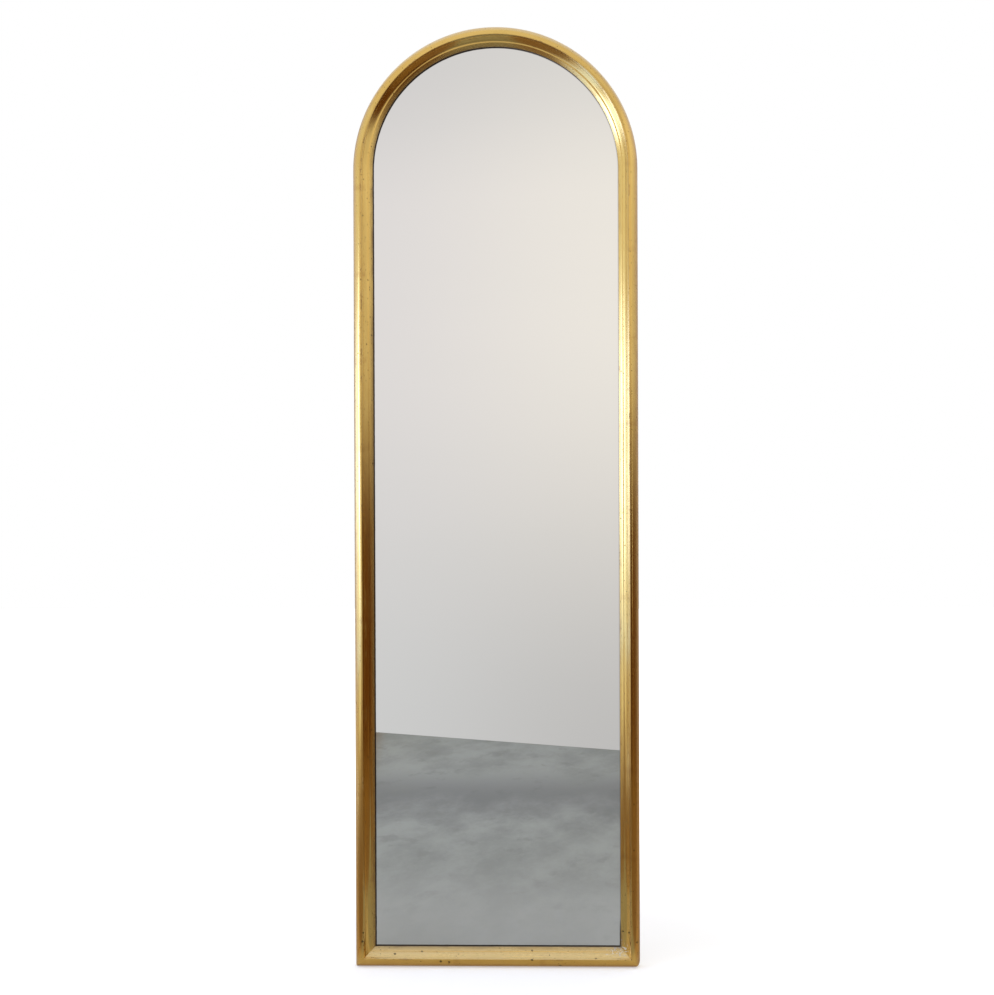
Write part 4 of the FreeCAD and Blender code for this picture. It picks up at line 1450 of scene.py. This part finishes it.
def floor_material():
    """Pale floor: white with the object's shadow to the camera, and grey concrete in the reflections."""
    material = bpy.data.materials.new("Studio floor")
    wiring = emptied(material)
    place = object_place(wiring)
    axes = wiring.split(place)
    sunlit = wiring.product(wiring.band(axes[0], -2.0, -1.75, 1.0, 0.0), wiring.band(axes[1], -0.9, -0.4))
    glow = wiring.layered(
        NO_GLOW,
        (wiring.band(axes[1], -0.14, -0.09), GLOW_AT_FOOT),
        (sunlit, SUNLIT_GLOW),
    )
    whiteness = wiring.band(wiring.span(place), 0.4, 1.2, 0.40, 1.0)
    seen = wiring.node("MixShader", Fac=wiring.node("LightPath").outputs["Is Camera Ray"])
    reflected = dull_and_glowing(wiring, concrete_tint(wiring, place, axes, sunlit), glow)
    wiring.join(reflected, seen.inputs[1])
    wiring.join(dull_and_glowing(wiring, WHITE_FLOOR, WHITE, whiteness), seen.inputs[2])
    wiring.put_out(seen)
    return material


def light_world(scene, level):
    """White to the camera and in reflections, softer on dull surfaces."""
    world = bpy.data.worlds.new("Studio")
    wiring = emptied(world)
    path = wiring.node("LightPath").outputs
    shown = wiring.largest(path["Is Camera Ray"], path["Is Glossy Ray"], path["Is Transmission Ray"])
    strength = wiring.total(level, wiring.product(shown, 1.0 - level))
    wiring.put_out(wiring.node("Background", Color=WHITE, Strength=strength), "OutputWorld")
    scene.world = world


def set_camera(scene, studio):
    """A camera on the right of the middle, with its picture shifted sideways."""
    aim = Matrix.Rotation(math.radians(studio.camera_yaw), 3, "Z")
    aim = aim @ Matrix.Rotation(math.pi / 2 - math.radians(studio.camera_pitch), 3, "X")
    aim = aim @ Matrix.Rotation(-math.radians(studio.camera_roll), 3, "Z")
    camera = bpy.data.objects.new("Camera", bpy.data.cameras.new("Camera"))
    camera.location = (studio.camera_side, -studio.camera_distance, studio.camera_height)
    camera.rotation_mode = "QUATERNION"
    camera.rotation_quaternion = aim.to_quaternion()
    camera.data.sensor_width = SENSOR_WIDTH
    camera.data.lens = studio.lens
    camera.data.shift_x = studio.shift_sideways
    camera.data.shift_y = studio.shift_up
    scene.collection.objects.link(camera)
    scene.camera = camera


class MIRROR_OT_stage(Operator):
    """Set the floor, the room, the light and the camera"""
    bl_idname = "arched_mirror.stage"
    bl_label = "Stage"

    def execute(self, context):
        scene, studio = context.scene, settings_of(context).studio
        scene.view_settings.view_transform = "Standard"
        stage_panel("floor", (-FLOOR_REACH, -FLOOR_REACH, FLOOR_LEVEL), (2 * FLOOR_REACH, 0, 0),
                    (0, 2 * FLOOR_REACH, 0), floor_material())

        # The room, which the camera sees only in reflections
        up = Vector((0, 0, ROOM_HEIGHT))
        left_corner, right_corner = (-SIDE_DISTANCE, SIDE_START, 0), (SIDE_DISTANCE, SIDE_START, 0)
        window_side_tint = left_side_tint(studio.window_light)
        for name, corner, first_edge, second_edge, tint_of in (
            ("far_wall", WALL_LEFT_END, WALL_RIGHT_END - WALL_LEFT_END, up, far_wall_tint),
            ("left_side", left_corner, (0, LEFT_SIDE_LENGTH, 0), up, window_side_tint),
            ("sill", SILL_CORNER, (SILL_DEPTH, 0, 0), (0, SILL_LENGTH, 0), sill_tint),
            ("right_side", right_corner, (0, RIGHT_SIDE_LENGTH, 0), up, right_side_tint),
            ("ceiling", CEILING_CORNER, (CEILING_WIDTH, 0, 0), (0, CEILING_LENGTH, 0), ceiling_tint),
        ):
            material = glowing(name.replace("_", " ").capitalize(), tint_of)
            panel = stage_panel(name, corner, first_edge, second_edge, material)
            panel.visible_camera = False

        light_world(scene, studio.world_light)
        set_camera(scene, studio)
        return {"FINISHED"}


class MIRROR_PT_panel(Panel):
    """Lists the pieces of the mirror"""
    bl_idname = "MIRROR_PT_panel"
    bl_label = "Arched wall mirror"
    bl_space_type = "VIEW_3D"
    bl_region_type = "UI"
    bl_category = "Mirror"

    def draw(self, context):
        for operator in OPERATORS:
            self.layout.operator(operator.bl_idname)
        settings = settings_of(context)
        for group in (settings.moulding, settings.finish, settings.studio):
            box = self.layout.box()
            for name in group.__annotations__:
                box.prop(group, name)


GROUPS = (MirrorMoulding, MirrorFinish, MirrorStudio, MirrorSettings)
OPERATORS = (
    MIRROR_OT_stage,
    MIRROR_OT_stiles,
    MIRROR_OT_bottom_rail,
    MIRROR_OT_head,
    MIRROR_OT_pane,
    MIRROR_OT_backing,
    MIRROR_OT_hangers,
    MIRROR_OT_turn_buttons,
    MIRROR_OT_screws,
    MIRROR_OT_bumpers,
    MIRROR_OT_hidden_joinery,
)
CLASSES = (*GROUPS, *OPERATORS, MIRROR_PT_panel)


def register():
    for item in CLASSES:
        bpy.utils.register_class(item)
    bpy.types.Scene.arched_mirror = PointerProperty(type=MirrorSettings)


def unregister():
    del bpy.types.Scene.arched_mirror
    for item in reversed(CLASSES):
        bpy.utils.unregister_class(item)


def main():
    register()
    bpy.ops.arched_mirror.stage()
    bpy.ops.arched_mirror.stiles()
    bpy.ops.arched_mirror.bottom_rail()
    bpy.ops.arched_mirror.head()
    bpy.ops.arched_mirror.pane()
    bpy.ops.arched_mirror.backing()
    bpy.ops.arched_mirror.hangers()
    bpy.ops.arched_mirror.turn_buttons()
    bpy.ops.arched_mirror.screws()
    bpy.ops.arched_mirror.bumpers()
    bpy.ops.arched_mirror.hidden_joinery()


if __name__ == "__main__":
    main()
